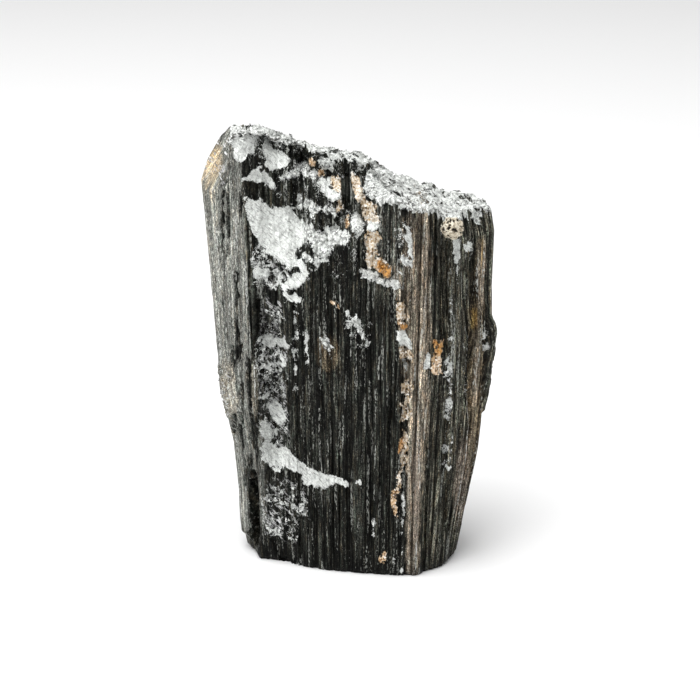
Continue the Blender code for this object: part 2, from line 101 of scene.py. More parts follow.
# Breaks: how frosted each is, with painted sheen, how crumbled, and its rows of x, foot level, head level,
# step back.
FRONT_BREAKS = {
    "wavy shelf": (0.95, 0.1, [
        (-16.0, 20.0, 21.0, 0.0), (-15.2, 19.0, 20.9, 2.2), (-14.2, 17.7, 20.5, 3.4),
        (-12.4, 17.4, 20.3, 3.4), (-11.0, 19.1, 20.5, 2.8), (-9.4, 18.6, 19.8, 2.3),
        (-8.3, 16.6, 18.9, 2.0), (-6.6, 15.4, 18.3, 1.6), (-4.0, 15.4, 17.7, 1.2), (-1.7, 16.6, 18.0, 0.8),
        (0.0, 16.9, 17.3, 0.0),
    ]),
    "scoop mouth": (0.7, 0.2, [
        (-15.9, 22, 24, 0.0), (-15.0, 22, 24, 0.8), (-11.4, 22, 24, 0.6), (-10.6, 22, 24, 0.0),
    ]),
    "scoop facet": (0.9, 0.1, [
        (-15.9, 25, 28, 0.0), (-14.8, 25.5, 28.5, 0.9), (-11.6, 25, 27.6, 0.7), (-10.8, 25, 27, 0.0),
    ]),
    "scoop streak": (0.6, 0.3, [
        (-15.9, 36, 37.6, 0.0), (-14.6, 35.6, 37.2, 0.8), (-11.2, 33.8, 35.2, 0.6), (-10.4, 33, 34, 0.0),
    ]),
    "scoop return": (0.0, 0.4, [
        (-16.2, 29, 38, 0.0), (-15.2, 29, 38, -2.2), (-14.2, 29, 38, -3.8), (-12.0, 28.4, 38, -3.4),
        (-10.0, 28, 38, -1.8), (-8.0, 27, 38, -1.1), (0.0, 26, 40, -0.4), (2.0, 26, 40, 0.0),
    ]),
    "twin lumps": (0.75, 0.3, [
        (-15.2, 39.2, 41.4, 0.0), (-14.2, 39.2, 41.4, 1.2), (-11.4, 39.4, 41.6, 1.0),
        (-10.6, 39.4, 41.4, 0.0),
    ]),
    "scoop roof": (0.0, 0.4, [
        (-16.4, 42, 49, 0.0), (-15.2, 42, 49, -2.2), (-14.2, 42, 49, -3.2), (-12.0, 42, 49, -2.9),
        (-10.0, 42, 48, -1.5), (-7.6, 43, 48, -0.5), (-6.0, 43, 48, 0.0),
    ]),
    "small ledge": (1.0, 0.1, [
        (-11.6, 49.0, 49.8, 0.0), (-10.8, 49.1, 50.0, 0.8), (-8.6, 49.1, 50.2, 0.9),
        (-7.9, 49.2, 50.0, 0.0),
    ]),
    "chip ledge": (0.9, 0.35, [
        (-17.2, 52.6, 54.4, 0.0), (-16.4, 52.4, 54.5, 0.8), (-13.9, 52.3, 54.4, 1.0),
        (-11.0, 51.2, 53.8, 1.2), (-8.4, 52.3, 54.2, 1.0), (-7.2, 52.8, 54.2, 0.0),
    ]),
    "great facet": (1.0, 0.08, [
        (-18.0, 65.3, 66.5, 0.0), (-16.8, 62.4, 66.2, 1.6), (-15.5, 59.2, 65.3, 2.6),
        (-13.5, 57.3, 64.3, 3.6), (-11.3, 55.7, 63.6, 4.6), (-9.9, 54.9, 63.0, 5.2),
        (-8.5, 54.9, 61.4, 4.6), (-7.6, 55.2, 59.4, 2.6), (-6.6, 55.8, 57.2, 0.0),
    ]),
    "knobbly ledge": (0.9, 0.6, [
        (-8.6, 59.0, 61.9, 0.0), (-7.4, 58.8, 61.8, 1.6), (-4.0, 58.9, 61.4, 2.6), (-1.4, 59.6, 62.0, 2.6),
        (-0.2, 60.6, 62.0, 1.0), (0.6, 61.0, 62.0, 0.0),
    ]),
    "streaked ledge": (0.7, 0.4, [
        (-9.4, 63.2, 65.8, 0.0), (-8.0, 63.2, 65.8, 2.2), (-4.4, 63.4, 65.4, 1.2), (-3.0, 64, 65, 0.0),
    ]),
    "vein ledge": (0.9, 0.5, [
        (-2.0, 62.6, 64.2, 0.0), (-0.4, 62.5, 64.2, 2.6), (2.6, 62.7, 64.1, 2.4), (4.6, 62.9, 64.1, 1.3),
        (5.4, 63.1, 64.1, 0.0),
    ]),
    "slanting facet": (0.85, 0.1, [
        (-17.0, 69.0, 70.0, 0.0), (-16.0, 68.4, 70.0, 1.4), (-12.7, 66.7, 68.6, 1.4),
        (-11.4, 66.4, 68.0, 0.0),
    ]),
    "left block": (0.7, 0.3, [
        (-17.6, 65.6, 66.8, 0.0), (-17.0, 65.6, 66.8, 0.8), (-14.6, 65.0, 66.4, 0.8),
        (-13.6, 65.0, 66.0, 0.0),
    ]),
    "upper facet": (0.95, 0.1, [
        (-15.6, 73.4, 75.0, 0.0), (-14.4, 72.6, 74.4, 2.0), (-10.4, 69.9, 72.2, 2.2),
        (-8.8, 69.6, 71.4, 0.0),
    ]),
    "middle ledge": (0.9, 0.6, [
        (-10.0, 69.6, 70.8, 0.0), (-9.0, 69.6, 70.9, 4.4), (-6.6, 69.8, 71.0, 5.0), (-4.6, 67.4, 69.0, 5.8),
        (-2.4, 67.4, 69.4, 6.4), (2.4, 67.4, 69.6, 7.0), (4.0, 67.6, 69.6, 7.4), (6.4, 67.8, 69.8, 7.0),
        (8.4, 68.4, 69.8, 5.0),
    ]),
    "peak facet": (0.95, 0.5, [
        (-20.2, 75.6, 77.4, 0.0), (-19.2, 74.9, 77.6, 2.4), (-16.8, 72.6, 77.2, 6.4),
        (-14.0, 74.2, 76.9, 3.0), (-11.6, 73.6, 76.2, 1.6), (-10.4, 73.4, 76.0, 0.0),
    ]),
    "lower vein ledge": (0.95, 0.3, [
        (1.2, 56.0, 56.6, 0.0), (1.9, 55.6, 56.6, 0.9), (2.6, 54.6, 55.9, 1.3), (5.0, 53.8, 55.0, 1.2),
        (8.2, 53.0, 54.0, 0.8), (9.0, 53.0, 53.8, 0.0),
    ]),
    "slanting crack": (0.8, 0.4, [
        (-4.0, 50.8, 51.2, 0.0), (-3.2, 50.0, 50.9, 0.5), (-0.4, 47.6, 49.2, 0.7), (2.2, 43.8, 45.4, 0.5),
        (3.0, 43.2, 44.2, 0.0),
    ]),
    "brown patch": (0.6, 0.3, [
        (-5.6, 41.6, 43.8, 0.0), (-4.8, 41.6, 43.8, 0.5), (-1.9, 40.2, 42.0, 0.5), (-1.2, 40.2, 41.6, 0.0),
    ]),
}
BACK_BREAKS = {
    "spall foot": (0.8, 0.3, [
        (-14, 24.0, 26.0, 0.0), (-11, 22.5, 25.5, 1.6), (-4, 20.0, 23.0, 2.0), (3, 21.5, 23.5, 1.4),
        (6, 22, 23, 0.0),
    ]),
    "spall head": (0.2, 0.3, [
        (-14, 44.0, 52.0, 0.0), (-11, 44.0, 52.0, -1.2), (-4, 42.0, 50.0, -1.6), (3, 44.0, 50.0, -1.2),
        (6, 44, 50, 0.0),
    ]),
    "back shoulder": (0.9, 0.4, [
        (-16, 60.0, 64.0, 0.0), (-12, 59.0, 63.0, 2.6), (-2, 61.0, 64.5, 3.4), (6, 57.5, 60.0, 2.8),
        (12, 55.0, 57.0, 1.8), (16, 55, 56, 0.0),
    ]),
    "right break": (0.7, 0.3, [
        (4, 34.0, 35.0, 0.0), (8, 33.0, 35.0, 1.1), (13, 34.5, 36.5, 1.4), (17, 36.0, 37.0, 0.0),
    ]),
}
# Hollows (depth over 0) and lumps (under 0) of the front: x, level, half width, half height, depth.
FRONT_PITS = {
    "dark pocket": (-15.5, 45.4, 1.0, 4.2, 2.4),
    "lower cleft": (-17.0, 9.4, 1.1, 8.0, 3.2),
    "foot chip": (-12.6, 1.6, 3.6, 3.0, 0.5),
    "foot corner": (-19.8, 0.0, 3.6, 3.4, 0.7),
    "left groove": (-20.9, 62.0, 0.9, 11.0, 0.4),
    "left lower groove": (-19.0, 36.0, 0.7, 16.0, 0.4),
    "vein groove": (9.2, 34.0, 0.7, 20.0, 0.7),
    "column groove": (12.9, 14.0, 0.6, 14.0, 0.9),
    "right groove": (15.9, 51.0, 0.9, 11.0, 1.7),
    "upper right groove": (14.0, 61.0, 0.5, 8.0, 1.0),
    "far right groove": (20.4, 44.0, 0.8, 18.0, 1.1),
    "lower right groove": (16.4, 18.0, 0.7, 14.0, 0.8),
    "knob": (16.8, 62.3, 2.0, 2.2, -0.9),
    "pale column": (11.4, 30.0, 1.6, 42.0, -0.5),
    "side blade": (24.4, 33.0, 1.6, 12.2, -1.1),
}
# Ribs: how many go round, how deep they are cut, how long each runs before it breaks, the seed of their
# places, and how far the tones of neighbours differ.
RIB_SETS = (
    (36, 0.75, 31.0, 3, 0.6), (92, 0.42, 17.0, 5, 2.0), (236, 0.17, 8.0, 7, 2.0), (520, 0.07, 5.0, 9, 2.0),
)
RIB_FLANK = 0.22
RIB_WANDER = 0.45
RIB_LEAST_HEIGHT = 0.35
RIB_ALLOWANCE = 0.7
# How strongly the grooves between the ribs are painted darker, as painted shade, for a rib of a given depth.
GROOVE_PAINTED_SHADE = 2.2
# The splinters that the edge of a break follows: how many round, how long, and the seed.
SPLINTERS = (180, 400.0, 15)
# The jags of every edge, by size: how far each reaches, how many go round, how tall each is, and its seed.
JAGS = ((0.2, 110, 2.3, 11), (0.12, 260, 1.1, 12), (0.08, 700, 0.35, 14))
# The broken lumps of the side and of the head, coarse and fine: how wide and tall each is, and its seed.
ROUND_SIDE = 135.0
SIDE_LUMPS = ((1.25, 1.5, 31), (0.5, 0.6, 41))
HEAD_LUMPS = ((1.5, 1.5, 61), (0.6, 0.6, 71))
# The front left corner, at the foot and at the head: left of it the skin is worn grey.
CORNER_FOOT_X, CORNER_HEAD_X = -15.9, -17.9
CORNER_BLEND = 0.5
# The worn skin ends at this y at the back, and fades out over this much before it.
WORN_END_Y, WORN_END_FADE = 6.0, 2.0
ROUGHNESS = 0.35
ROUGHNESS_CELLS, ROUGHNESS_PITCH = 64, 2.6
# The grown skin is worn away towards the foot: from this level down the ribs are shallower, to this share.
# From about the same level down, its colour is darkened as painted shade near the floor.
FOOT_WEAR_AND_SHADE_LEVEL, FOOT_RIB_SHARE = 7.0, 0.4
# How much of the ribs' depth is lost on breaks and patches, on the worn skin and on crumbled ground.
BREAK_RIB_LOSS, WORN_RIB_LOSS, CRUMB_RIB_LOSS = 0.9, 0.55, 0.7
# How far the lumps of crumbled ground reach in or out, coarse and fine, and the fine ones of a fresh break.
COARSE_RELIEF, FINE_RELIEF, FRESH_RELIEF = 0.55, 0.3, 0.06
# How much of a break's frost and painted sheen shows between the patches, at the front and at the back.
FRONT_BREAK_FROST_AND_SHEEN, BACK_BREAK_FROST_AND_SHEEN = 0.3, 0.66
# How far the foot's edge is drawn in, and up to which level.
FOOT_DRAW, FOOT_DRAW_LEVEL = 0.5, 1.0
# The lumps of the head, coarse and fine: how far each reaches up or down, and how far all of it is lowered.
HEAD_COARSE_RELIEF, HEAD_FINE_RELIEF, HEAD_LOWERING = 0.34, 0.17, 0.25
# The grid: steps round the front and round the back, rows up the side, and rows across the foot and the head.
FRONT_STEPS, BACK_STEPS, SIDE_ROWS, CAP_ROWS = 700, 300, 520, 60
FRONT_SHARE = 0.575
CRYSTAL_TRIANGLES = 196000


def chance(i, j, seed):
    """A fixed pseudo-random number from 0 to 1 for each pair of whole numbers."""
    n = (i.astype(np.int64) * 374761393 + j.astype(np.int64) * 668265263 + seed * 2147483647) & 0xFFFFFFFF
    n = ((n ^ (n >> 13)) * 1274126177) & 0xFFFFFFFF
    return ((n ^ (n >> 16)) & 0xFFFF) / 65535.0


def soft(t):
    """0 to 1 with a level start and end: three t squared less two t cubed."""
    t = np.clip(t, 0.0, 1.0)
    return t * t * (3.0 - 2.0 * t)


def waves(u, z, count, pitch, seed):
    """Smooth noise from -1 to 1 that closes on itself round the prism: random heights at the corners of
    cells, `count` round and `pitch` mm tall, with a soft slope between them."""
    a, b = u * count, z / pitch
    i, j = np.floor(a), np.floor(b)
    s, t = soft(a - i), soft(b - j)
    low = chance(i % count, j, seed) * (1 - s) + chance((i + 1) % count, j, seed) * s
    high = chance(i % count, j + 1, seed) * (1 - s) + chance((i + 1) % count, j + 1, seed) * s
    return 2.0 * (low * (1 - t) + high * t) - 1.0


def lumps(a, b, size):
    """Broken lumps, one to a cell of a size: each point takes the height and the tilt of the nearest cell
    centre, so the surface is flat facets that meet in creases. Gives the height, from about -1 to 1, and a
    share of 0 to 1 that is the same all over a facet."""
    wide, tall, seed = size
    a, b = a / wide, b / tall
    nearest = np.full(a.shape, 9.0)
    height, own = np.zeros(a.shape), np.zeros(a.shape)
    for di in (-1, 0, 1):
        for dj in (-1, 0, 1):
            i, j = np.floor(a) + di, np.floor(b) + dj
            da = a - i - chance(i, j, seed)
            db = b - j - chance(i, j, seed + 1)
            gap = da * da + db * db
            facet = chance(i, j, seed + 2) + 1.4 * da * (chance(i, j, seed + 3) - 0.5)
            facet = facet + 1.4 * db * (chance(i, j, seed + 4) - 0.5)
            height = np.where(gap < nearest, facet, height)
            own = np.where(gap < nearest, chance(i, j, seed + 5), own)
            nearest = np.minimum(gap, nearest)
    return 2.0 * height - 1.0, own


def loft(u, z):
    """The unbroken prism at share u round and level z: straight posts joined by flats, and averaged over a
    short stretch of the way round, which rounds the posts."""
    foot, head = np.array(POSTS).transpose(1, 0, 2)
    middle = np.vstack([(foot + head) / 2, (foot[:1] + head[:1]) / 2])
    lengths = np.hypot(*np.diff(middle, axis=0).T)
    post_u = np.append(0, np.cumsum(lengths)) / lengths.sum()
    reach = POST_ROUNDING / lengths.sum()
    x, y = np.zeros_like(u), np.zeros_like(u)
    for shift, weight in ((-1.0, 0.25), (0.0, 0.5), (1.0, 0.25)):
        at = (u + shift * reach) % 1.0
        for total, axis in ((x, 0), (y, 1)):
            ends = [np.interp(at, post_u, np.append(post[:, axis], post[0, axis])) for post in (foot, head)]
            total += weight * (ends[0] + (ends[1] - ends[0]) * z / HEAD_LEVEL)
    left, right = (np.interp(z, *np.array(swell, float).T) for swell in (LEFT_SWELL, RIGHT_SWELL))
    x -= soft((-x - SWELL_START) / LEFT_SWELL_REACH) * left
    x += soft((x - SWELL_START) / RIGHT_SWELL_REACH) * right
    return x, y


def breaks(tables, x, z):
    """The sum of the steps below level z, each growing evenly from its foot to its head, with how far the
    point is on a fresh break, how frosted that break is, with its painted sheen, and how crumbled."""
    depth, broken, frost_and_sheen_share, crumbled = (np.zeros_like(x) for _ in range(4))
    for frost_and_sheen, crumb, rows in tables.values():
        rows = np.array(rows, float)
        foot, head, step = (
            sum(np.interp(x + slip, rows[:, 0], rows[:, column]) for slip in BREAK_ROUNDING) / 3.0
            for column in (1, 2, 3)
        )
        t = (z - foot) / (head - foot)
        depth += step * np.clip(t, 0.0, 1.0)
        here = soft((t + 0.1) / 0.2) * soft((1.1 - t) / 0.2) * soft(np.abs(step) / 0.7)
        broken = np.maximum(broken, here * (step > 0))
        frost_and_sheen_share = np.maximum(frost_and_sheen_share, here * frost_and_sheen)
        crumbled = np.maximum(crumbled, here * crumb)
    return depth, broken, frost_and_sheen_share, crumbled


def pits(table, x, z):
    """Round-cornered hollows and lumps: full in the middle, level at the rim."""
    depth = np.zeros_like(x)
    for px, pz, half_width, half_height, deep in table.values():
        distance = np.abs((x - px) / half_width) ** 2.5 + np.abs((z - pz) / half_height) ** 4
        depth += deep * soft(1.35 * (1.0 - distance))
    return depth


def ribs(u, z, count, run, seed):
    """Flat-topped ribs from 0, in the grooves, to 1. Each changes height where its run breaks, and has a tone
    of its own from 0 to 1."""
    place = u * count + RIB_WANDER * waves(u, z * 0, count // 2, 1.0, seed)
    i = np.floor(place)
    t = place - i
    j = np.floor(z / run + chance(i % count, i * 0, seed + 1))
    height = RIB_LEAST_HEIGHT + (1.0 - RIB_LEAST_HEIGHT) * chance(i % count, j, seed + 2)
    return height * soft(t / RIB_FLANK) * soft((1 - t) / RIB_FLANK), chance(i % count, j, seed + 4)


# How a patch is finished: frost with painted sheen, crumb, share of vein filling, rust, and how grey the
# frost is.
BARE = (0.0, 0.1, 0.0, 0.0, 0.0)
FACET = (1.0, 0.08, 0.0, 0.0, 0.0)
GREY = (0.85, 0.25, 0.0, 0.0, 0.32)
LINES = (0.62, 0.6, 0.0, 0.0, 0.1)
RIPPLED = (0.36, 0.55, 0.0, 0.0, 0.5)
SLAB = (1.0, 0.2, 0.0, 0.0, 0.35)
CRUMB = (0.88, 0.62, 0.0, 0.0, 0.0)
VEIN = (0.0, 0.6, 0.92, 0.0, 0.0)
TAN_VEIN = (0.0, 0.35, 0.75, 0.35, 0.0)
RUST_VEIN = (0.0, 0.4, 1.0, 1.0, 0.0)
FELT = (1.0, 0.12, 0.0, 0.0, 0.16)
SUGAR = (0.82, 0.5, 0.0, 0.0, 0.12)
# How grey the frost is away from the patches.
UNPATCHED_GREY = 0.12
# Over how many millimetres of its edge a patch reaches its height, and over how many its finish. A bare
# patch, which is a groove, does both over the first.
PATCH_STEP, PATCH_FADE = 0.3, 0.8
# Patches of the front: the finish, how far it stands out, and its outline as x, level.
PATCHES = {
    "peak facet": (SLAB, 0.0, [
        (-20.4, 76.3), (-19.4, 77.2), (-17.8, 76.6), (-17.3, 75.2), (-16.8, 74.0), (-15.7, 72.7),
        (-17.3, 73.9), (-18.9, 74.7),
    ]),
    "peak block": (FACET, 0.15, [
        (-19.4, 74.4), (-18.8, 74.8), (-17.5, 73.6), (-18.2, 72.8), (-19.3, 73.3),
    ]),
    "upper facet": (FACET, 0.0, [
        (-15.8, 74.4), (-15.4, 74.9), (-13.0, 73.7), (-10.5, 72.4), (-10.3, 71.4), (-11.4, 70.7),
        (-13.5, 70.3), (-14.7, 71.3), (-14.0, 72.2),
    ]),
    "left facet": (FACET, 0.1, [
        (-18.3, 70.0), (-17.3, 69.9), (-16.7, 70.8), (-15.3, 70.4), (-12.8, 68.5), (-12.3, 67.3),
        (-13.9, 67.6), (-16.5, 69.0),
    ]),
    "great facet": (FACET, 0.0, [
        (-17.9, 66.8), (-16.0, 66.0), (-14.4, 65.2), (-13.1, 64.2), (-10.3, 64.2), (-9.2, 62.3),
        (-7.9, 62.2), (-7.7, 60.1), (-8.4, 58.2), (-9.1, 57.8), (-8.7, 56.5), (-7.4, 55.9), (-7.1, 54.9),
        (-8.0, 54.8), (-9.1, 55.5), (-10.0, 54.8), (-12.4, 56.3), (-14.0, 57.7), (-15.2, 58.5),
        (-16.2, 60.9), (-17.2, 63.9),
    ]),
    "knobbly ledge": (CRUMB, 0.0, [
        (-8.1, 62.1), (-6.3, 62.5), (-5.3, 61.7), (-2.0, 62.3), (0.3, 61.9), (-0.8, 60.7), (-2.4, 60.0),
        (-3.3, 58.9), (-3.5, 56.5), (-4.9, 57.4), (-6.2, 59.3), (-5.3, 59.8), (-6.8, 60.1), (-7.8, 60.7),
    ]),
    "knobbly tail": (CRUMB, 0.0, [(-8.7, 56.9), (-7.3, 57.5), (-5.0, 57.4), (-5.3, 56.5), (-7.7, 56.4)]),
    "streaked ledge": (CRUMB, 0.0, [
        (-8.9, 65.4), (-7.6, 66.1), (-5.8, 66.0), (-3.3, 65.3), (-0.6, 64.9), (-0.8, 64.2), (-3.3, 64.6),
        (-6.0, 64.2), (-8.9, 64.6),
    ]),
    "middle ledge left": (CRUMB, 0.0, [
        (-11.1, 69.6), (-10.0, 70.4), (-8.5, 70.7), (-7.4, 71.2), (-5.3, 70.6), (-5.4, 69.6), (-6.7, 70.0),
        (-7.9, 69.6), (-10.4, 69.0),
    ]),
    "middle ledge lump": (CRUMB, 0.3, [
        (-5.4, 71.0), (-5.7, 72.0), (-4.7, 72.5), (-3.7, 72.3), (-2.4, 72.4), (-2.3, 71.3), (-2.9, 70.5),
        (-4.0, 70.5),
    ]),
    "vein top": (TAN_VEIN, 0.2, [
        (-7.1, 72.6), (-6.5, 72.4), (-5.6, 72.0), (-5.7, 70.7), (-6.6, 70.6), (-7.2, 71.2),
    ]),
    "vein upper": (TAN_VEIN, 0.1, [(-5.4, 70.3), (-4.2, 69.7), (-4.0, 68.7), (-5.4, 69.4)]),
    "pink facet": (FACET, 0.1, [(-5.3, 69.0), (-3.4, 68.8), (-2.8, 68.2), (-3.6, 67.6), (-4.7, 68.0)]),
    "vein left strand": (VEIN, 0.0, [
        (-3.0, 69.4), (-1.9, 69.8), (-1.4, 68.2), (-1.3, 66.4), (-0.8, 64.9), (-1.4, 64.1), (-2.1, 66.4),
        (-3.0, 67.9),
    ]),
    "vein right strand": (VEIN, 0.0, [
        (0.4, 69.6), (1.4, 69.4), (2.4, 67.6), (3.4, 67.0), (4.6, 66.4), (5.0, 63.5), (2.4, 63.3),
        (1.5, 65.3), (1.2, 66.6), (0.5, 68.2),
    ]),
    "vein pocket": (BARE, -1.0, [
        (-1.5, 69.0), (-0.4, 69.3), (0.6, 67.9), (1.2, 66.2), (0.5, 65.1), (-0.6, 64.9), (-1.2, 66.6),
    ]),
    "vein facet": (FACET, 0.3, [(-3.1, 67.9), (-1.6, 67.7), (-1.6, 66.9), (-2.7, 66.7), (-3.4, 67.2)]),
    "vein lower": (VEIN, 0.0, [
        (2.7, 62.7), (5.0, 62.9), (5.2, 60.9), (4.9, 59.2), (4.4, 57.7), (5.8, 57.2), (6.5, 55.7),
        (6.2, 54.4), (5.0, 55.4), (3.0, 56.1), (2.6, 58.2), (2.4, 60.7),
    ]),
    "vein white block": (FACET, 0.4, [(2.6, 63.1), (3.7, 63.6), (5.0, 63.4), (4.8, 62.8), (3.3, 62.5)]),
    "vein grey facet": (SUGAR, 0.2, [
        (0.0, 64.6), (1.3, 64.9), (2.2, 63.3), (2.5, 62.5), (1.2, 61.6), (0.1, 62.3),
    ]),
    "vein fork": (TAN_VEIN, 0.0, [(-1.0, 64.1), (-0.1, 64.4), (0.1, 63.0), (-0.3, 62.3), (-1.0, 62.6)]),
    "orange lump": (RUST_VEIN, 0.7, [
        (4.4, 57.0), (5.2, 57.6), (6.2, 56.9), (6.5, 55.7), (6.4, 54.5), (5.7, 54.4), (5.0, 55.6),
        (4.2, 56.2),
    ]),
    "lower vein ledge": (SUGAR, 0.2, [
        (1.7, 55.8), (2.0, 56.0), (2.7, 55.4), (4.4, 55.5), (5.3, 54.4), (8.0, 53.8), (8.3, 53.0),
        (7.7, 52.6), (7.0, 53.2), (5.8, 53.3), (4.2, 53.8), (2.0, 54.6),
    ]),
    "column facet": (GREY, 0.2, [
        (9.3, 63.5), (9.8, 63.4), (10.4, 61.2), (10.3, 58.1), (9.7, 58.7), (9.4, 61.2),
    ]),
    "honeycomb": (LINES, 0.1, [
        (7.0, 57.8), (8.9, 58.4), (10.1, 58.1), (10.3, 56.6), (9.2, 56.7), (7.9, 57.3),
    ]),
    "right ledge": (CRUMB, 0.0, [
        (2.4, 67.8), (3.1, 70.4), (4.2, 70.5), (8.4, 70.0), (11.9, 68.6), (14.9, 66.6), (14.8, 65.6),
        (11.8, 66.0), (8.8, 66.8), (6.5, 67.2), (4.7, 66.9),
    ]),
    "knob tail": (GREY, 0.3, [(17.0, 60.9), (18.4, 60.5), (18.2, 56.3), (18.0, 52.7), (17.7, 55.2)]),
    # A painted highlight: the white glint is a pale facet.
    "white glint": (FACET, 0.2, [(19.0, 59.2), (20.7, 58.7), (20.8, 57.5), (19.4, 57.7)]),
    "slab groove": (BARE, -0.4, [
        (-21.7, 69.4), (-21.4, 69.0), (-21.6, 59.0), (-22.0, 54.4), (-22.1, 58.0), (-21.8, 65.0),
    ]),
    "long groove": (BARE, -0.5, [
        (-20.4, 72.4), (-20.1, 72.0), (-20.3, 63.4), (-21.0, 54.7), (-21.2, 55.4), (-20.8, 65.5),
    ]),
    "short groove": (BARE, -0.4, [(-18.6, 67.9), (-18.1, 67.7), (-18.1, 63.5), (-18.5, 63.8)]),
    "middle groove": (BARE, -0.4, [
        (-19.4, 53.6), (-19.1, 53.2), (-19.2, 46.5), (-19.5, 38.5), (-19.6, 40.9), (-19.5, 48.4),
    ]),
    "wide groove": (BARE, -0.5, [
        (-20.1, 43.1), (-19.2, 43.3), (-19.0, 40.0), (-18.9, 37.1), (-19.5, 36.9), (-19.6, 40.1),
    ]),
    "wide groove tail": (BARE, -0.4, [(-20.5, 39.8), (-20.1, 39.9), (-20.0, 32.7), (-20.4, 33.3)]),
    "corner groove": (BARE, -0.5, [
        (-17.7, 38.0), (-17.2, 38.0), (-16.9, 33.6), (-17.0, 28.3), (-17.5, 28.1), (-17.7, 33.7),
    ]),
    "middle slit": (BARE, -0.4, [(-19.2, 35.0), (-18.8, 35.0), (-18.7, 25.0), (-19.2, 25.0)]),
    "edge pocket": (BARE, -0.6, [
        (-20.8, 26.3), (-20.0, 27.1), (-20.0, 23.4), (-20.7, 21.5), (-20.9, 22.4),
    ]),
    "foot groove": (BARE, -0.4, [
        (-19.5, 24.8), (-19.0, 24.6), (-18.3, 21.5), (-19.0, 19.7), (-19.3, 22.0),
    ]),
    "foot corner groove": (BARE, -0.4, [(-17.5, 28.2), (-16.7, 28.0), (-16.5, 21.2), (-17.2, 20.8)]),
    "cleft slit left": (BARE, -0.4, [(-18.6, 18.6), (-18.1, 18.8), (-18.1, 13.1), (-18.6, 12.9)]),
    "cleft slit right": (BARE, -0.4, [(-17.6, 20.8), (-16.9, 20.5), (-17.2, 14.9), (-17.8, 14.9)]),
    "right drip": (CRUMB, 0.1, [(20.9, 64.6), (22.4, 64.0), (21.9, 62.2), (21.1, 61.9), (20.4, 63.4)]),
    "chip facet": (GREY, 0.1, [
        (-16.4, 54.1), (-15.8, 54.7), (-13.9, 54.2), (-13.8, 53.6), (-14.7, 52.8), (-16.6, 52.9),
    ]),
    "chip streak": (LINES, 0.2, [(-14.0, 54.9), (-12.7, 54.5), (-9.7, 53.1), (-11.3, 52.9), (-12.7, 53.5)]),
    "chip ledge": (FACET, 0.2, [
        (-12.0, 52.4), (-10.1, 53.2), (-8.9, 54.4), (-7.5, 54.4), (-7.2, 53.6), (-8.2, 52.8), (-8.7, 51.8),
        (-10.1, 52.0), (-11.3, 51.4),
    ]),
    "chip curl": (LINES, 0.1, [(-15.0, 53.6), (-13.9, 52.8), (-12.5, 51.6), (-13.4, 51.6), (-14.8, 52.6)]),
    "small ledge": (FACET, 0.2, [(-11.2, 50.8), (-8.7, 50.8), (-8.1, 50.0), (-8.4, 49.6), (-10.0, 49.8)]),
    "left lump": (GREY, 0.5, [
        (-15.1, 41.4), (-13.8, 41.6), (-12.9, 41.0), (-12.8, 40.2), (-13.6, 39.4), (-14.9, 40.3),
    ]),
    "right lump": (GREY, 0.5, [(-12.5, 41.8), (-11.3, 42.2), (-10.5, 41.6), (-10.8, 40.4), (-12.0, 40.5)]),
    "small lump": (FACET, 0.4, [(-16.2, 42.0), (-15.2, 41.8), (-15.2, 41.0), (-16.0, 41.1)]),
    "round lump": (LINES, 0.3, [(-15.7, 40.1), (-14.7, 39.9), (-14.7, 38.7), (-15.6, 38.7)]),
    "scoop bit": (FACET, 0.3, [(-12.3, 39.1), (-11.4, 39.1), (-11.3, 38.2), (-12.2, 38.2)]),
    "lower scoop bit": (FACET, 0.3, [(-12.1, 37.3), (-11.1, 37.5), (-11.7, 36.5)]),
    "scoop streak": (LINES, 0.3, [
        (-15.4, 38.1), (-14.4, 37.7), (-13.7, 36.8), (-11.4, 34.9), (-10.8, 34.0), (-12.0, 33.6),
        (-14.1, 35.4), (-15.1, 36.5),
    ]),
    "scoop facet": (FACET, 0.3, [
        (-15.4, 28.8), (-13.4, 28.4), (-11.8, 27.9), (-11.1, 27.5), (-11.2, 26.2), (-11.8, 24.8),
        (-12.6, 24.9), (-13.8, 26.2),
    ]),
    "scoop curl": (FACET, 0.2, [(-15.9, 31.0), (-14.5, 30.6), (-14.9, 29.8), (-15.6, 30.0)]),
    "scoop curve": (FACET, 0.3, [
        (-14.1, 30.0), (-13.1, 29.4), (-11.8, 28.2), (-12.2, 27.9), (-13.4, 28.9),
    ]),
    "scoop foot facet": (FACET, 0.3, [
        (-16.0, 26.3), (-15.2, 26.3), (-13.8, 24.0), (-13.8, 22.6), (-14.7, 22.3), (-15.5, 23.2),
    ]),
    "scoop foot grey": (GREY, 0.1, [(-13.8, 23.8), (-12.3, 24.3), (-13.5, 22.6)]),
    "wavy shelf": (FELT, 0.2, [
        (-15.8, 22.6), (-12.3, 20.9), (-11.0, 21.1), (-7.6, 18.8), (-5.2, 18.6), (-3.8, 18.1), (-1.7, 18.0),
        (-0.4, 17.2), (-0.6, 16.4), (-2.4, 17.0), (-4.2, 15.9), (-4.9, 16.3), (-6.5, 15.9), (-8.3, 16.2),
        (-8.6, 17.7), (-11.2, 19.1), (-11.6, 18.5), (-12.6, 17.8), (-13.9, 18.1), (-15.4, 19.4),
    ]),
    "shelf tip": (FACET, 0.1, [(0.7, 17.6), (1.7, 17.9), (1.9, 17.2)]),
    "crack head": (FACET, 0.1, [(-1.0, 48.8), (-0.3, 48.8), (0.3, 47.2), (-0.4, 47.5)]),
    "crack foot": (CRUMB, 0.2, [(-0.2, 47.5), (1.0, 47.8), (1.9, 46.1), (2.3, 44.3), (1.2, 45.0)]),
    "crack line": (TAN_VEIN, 0.1, [(-3.9, 50.3), (-3.0, 50.1), (-1.0, 49.2), (-1.1, 48.8), (-2.9, 49.5)]),
    "fan": (LINES, 0.1, [
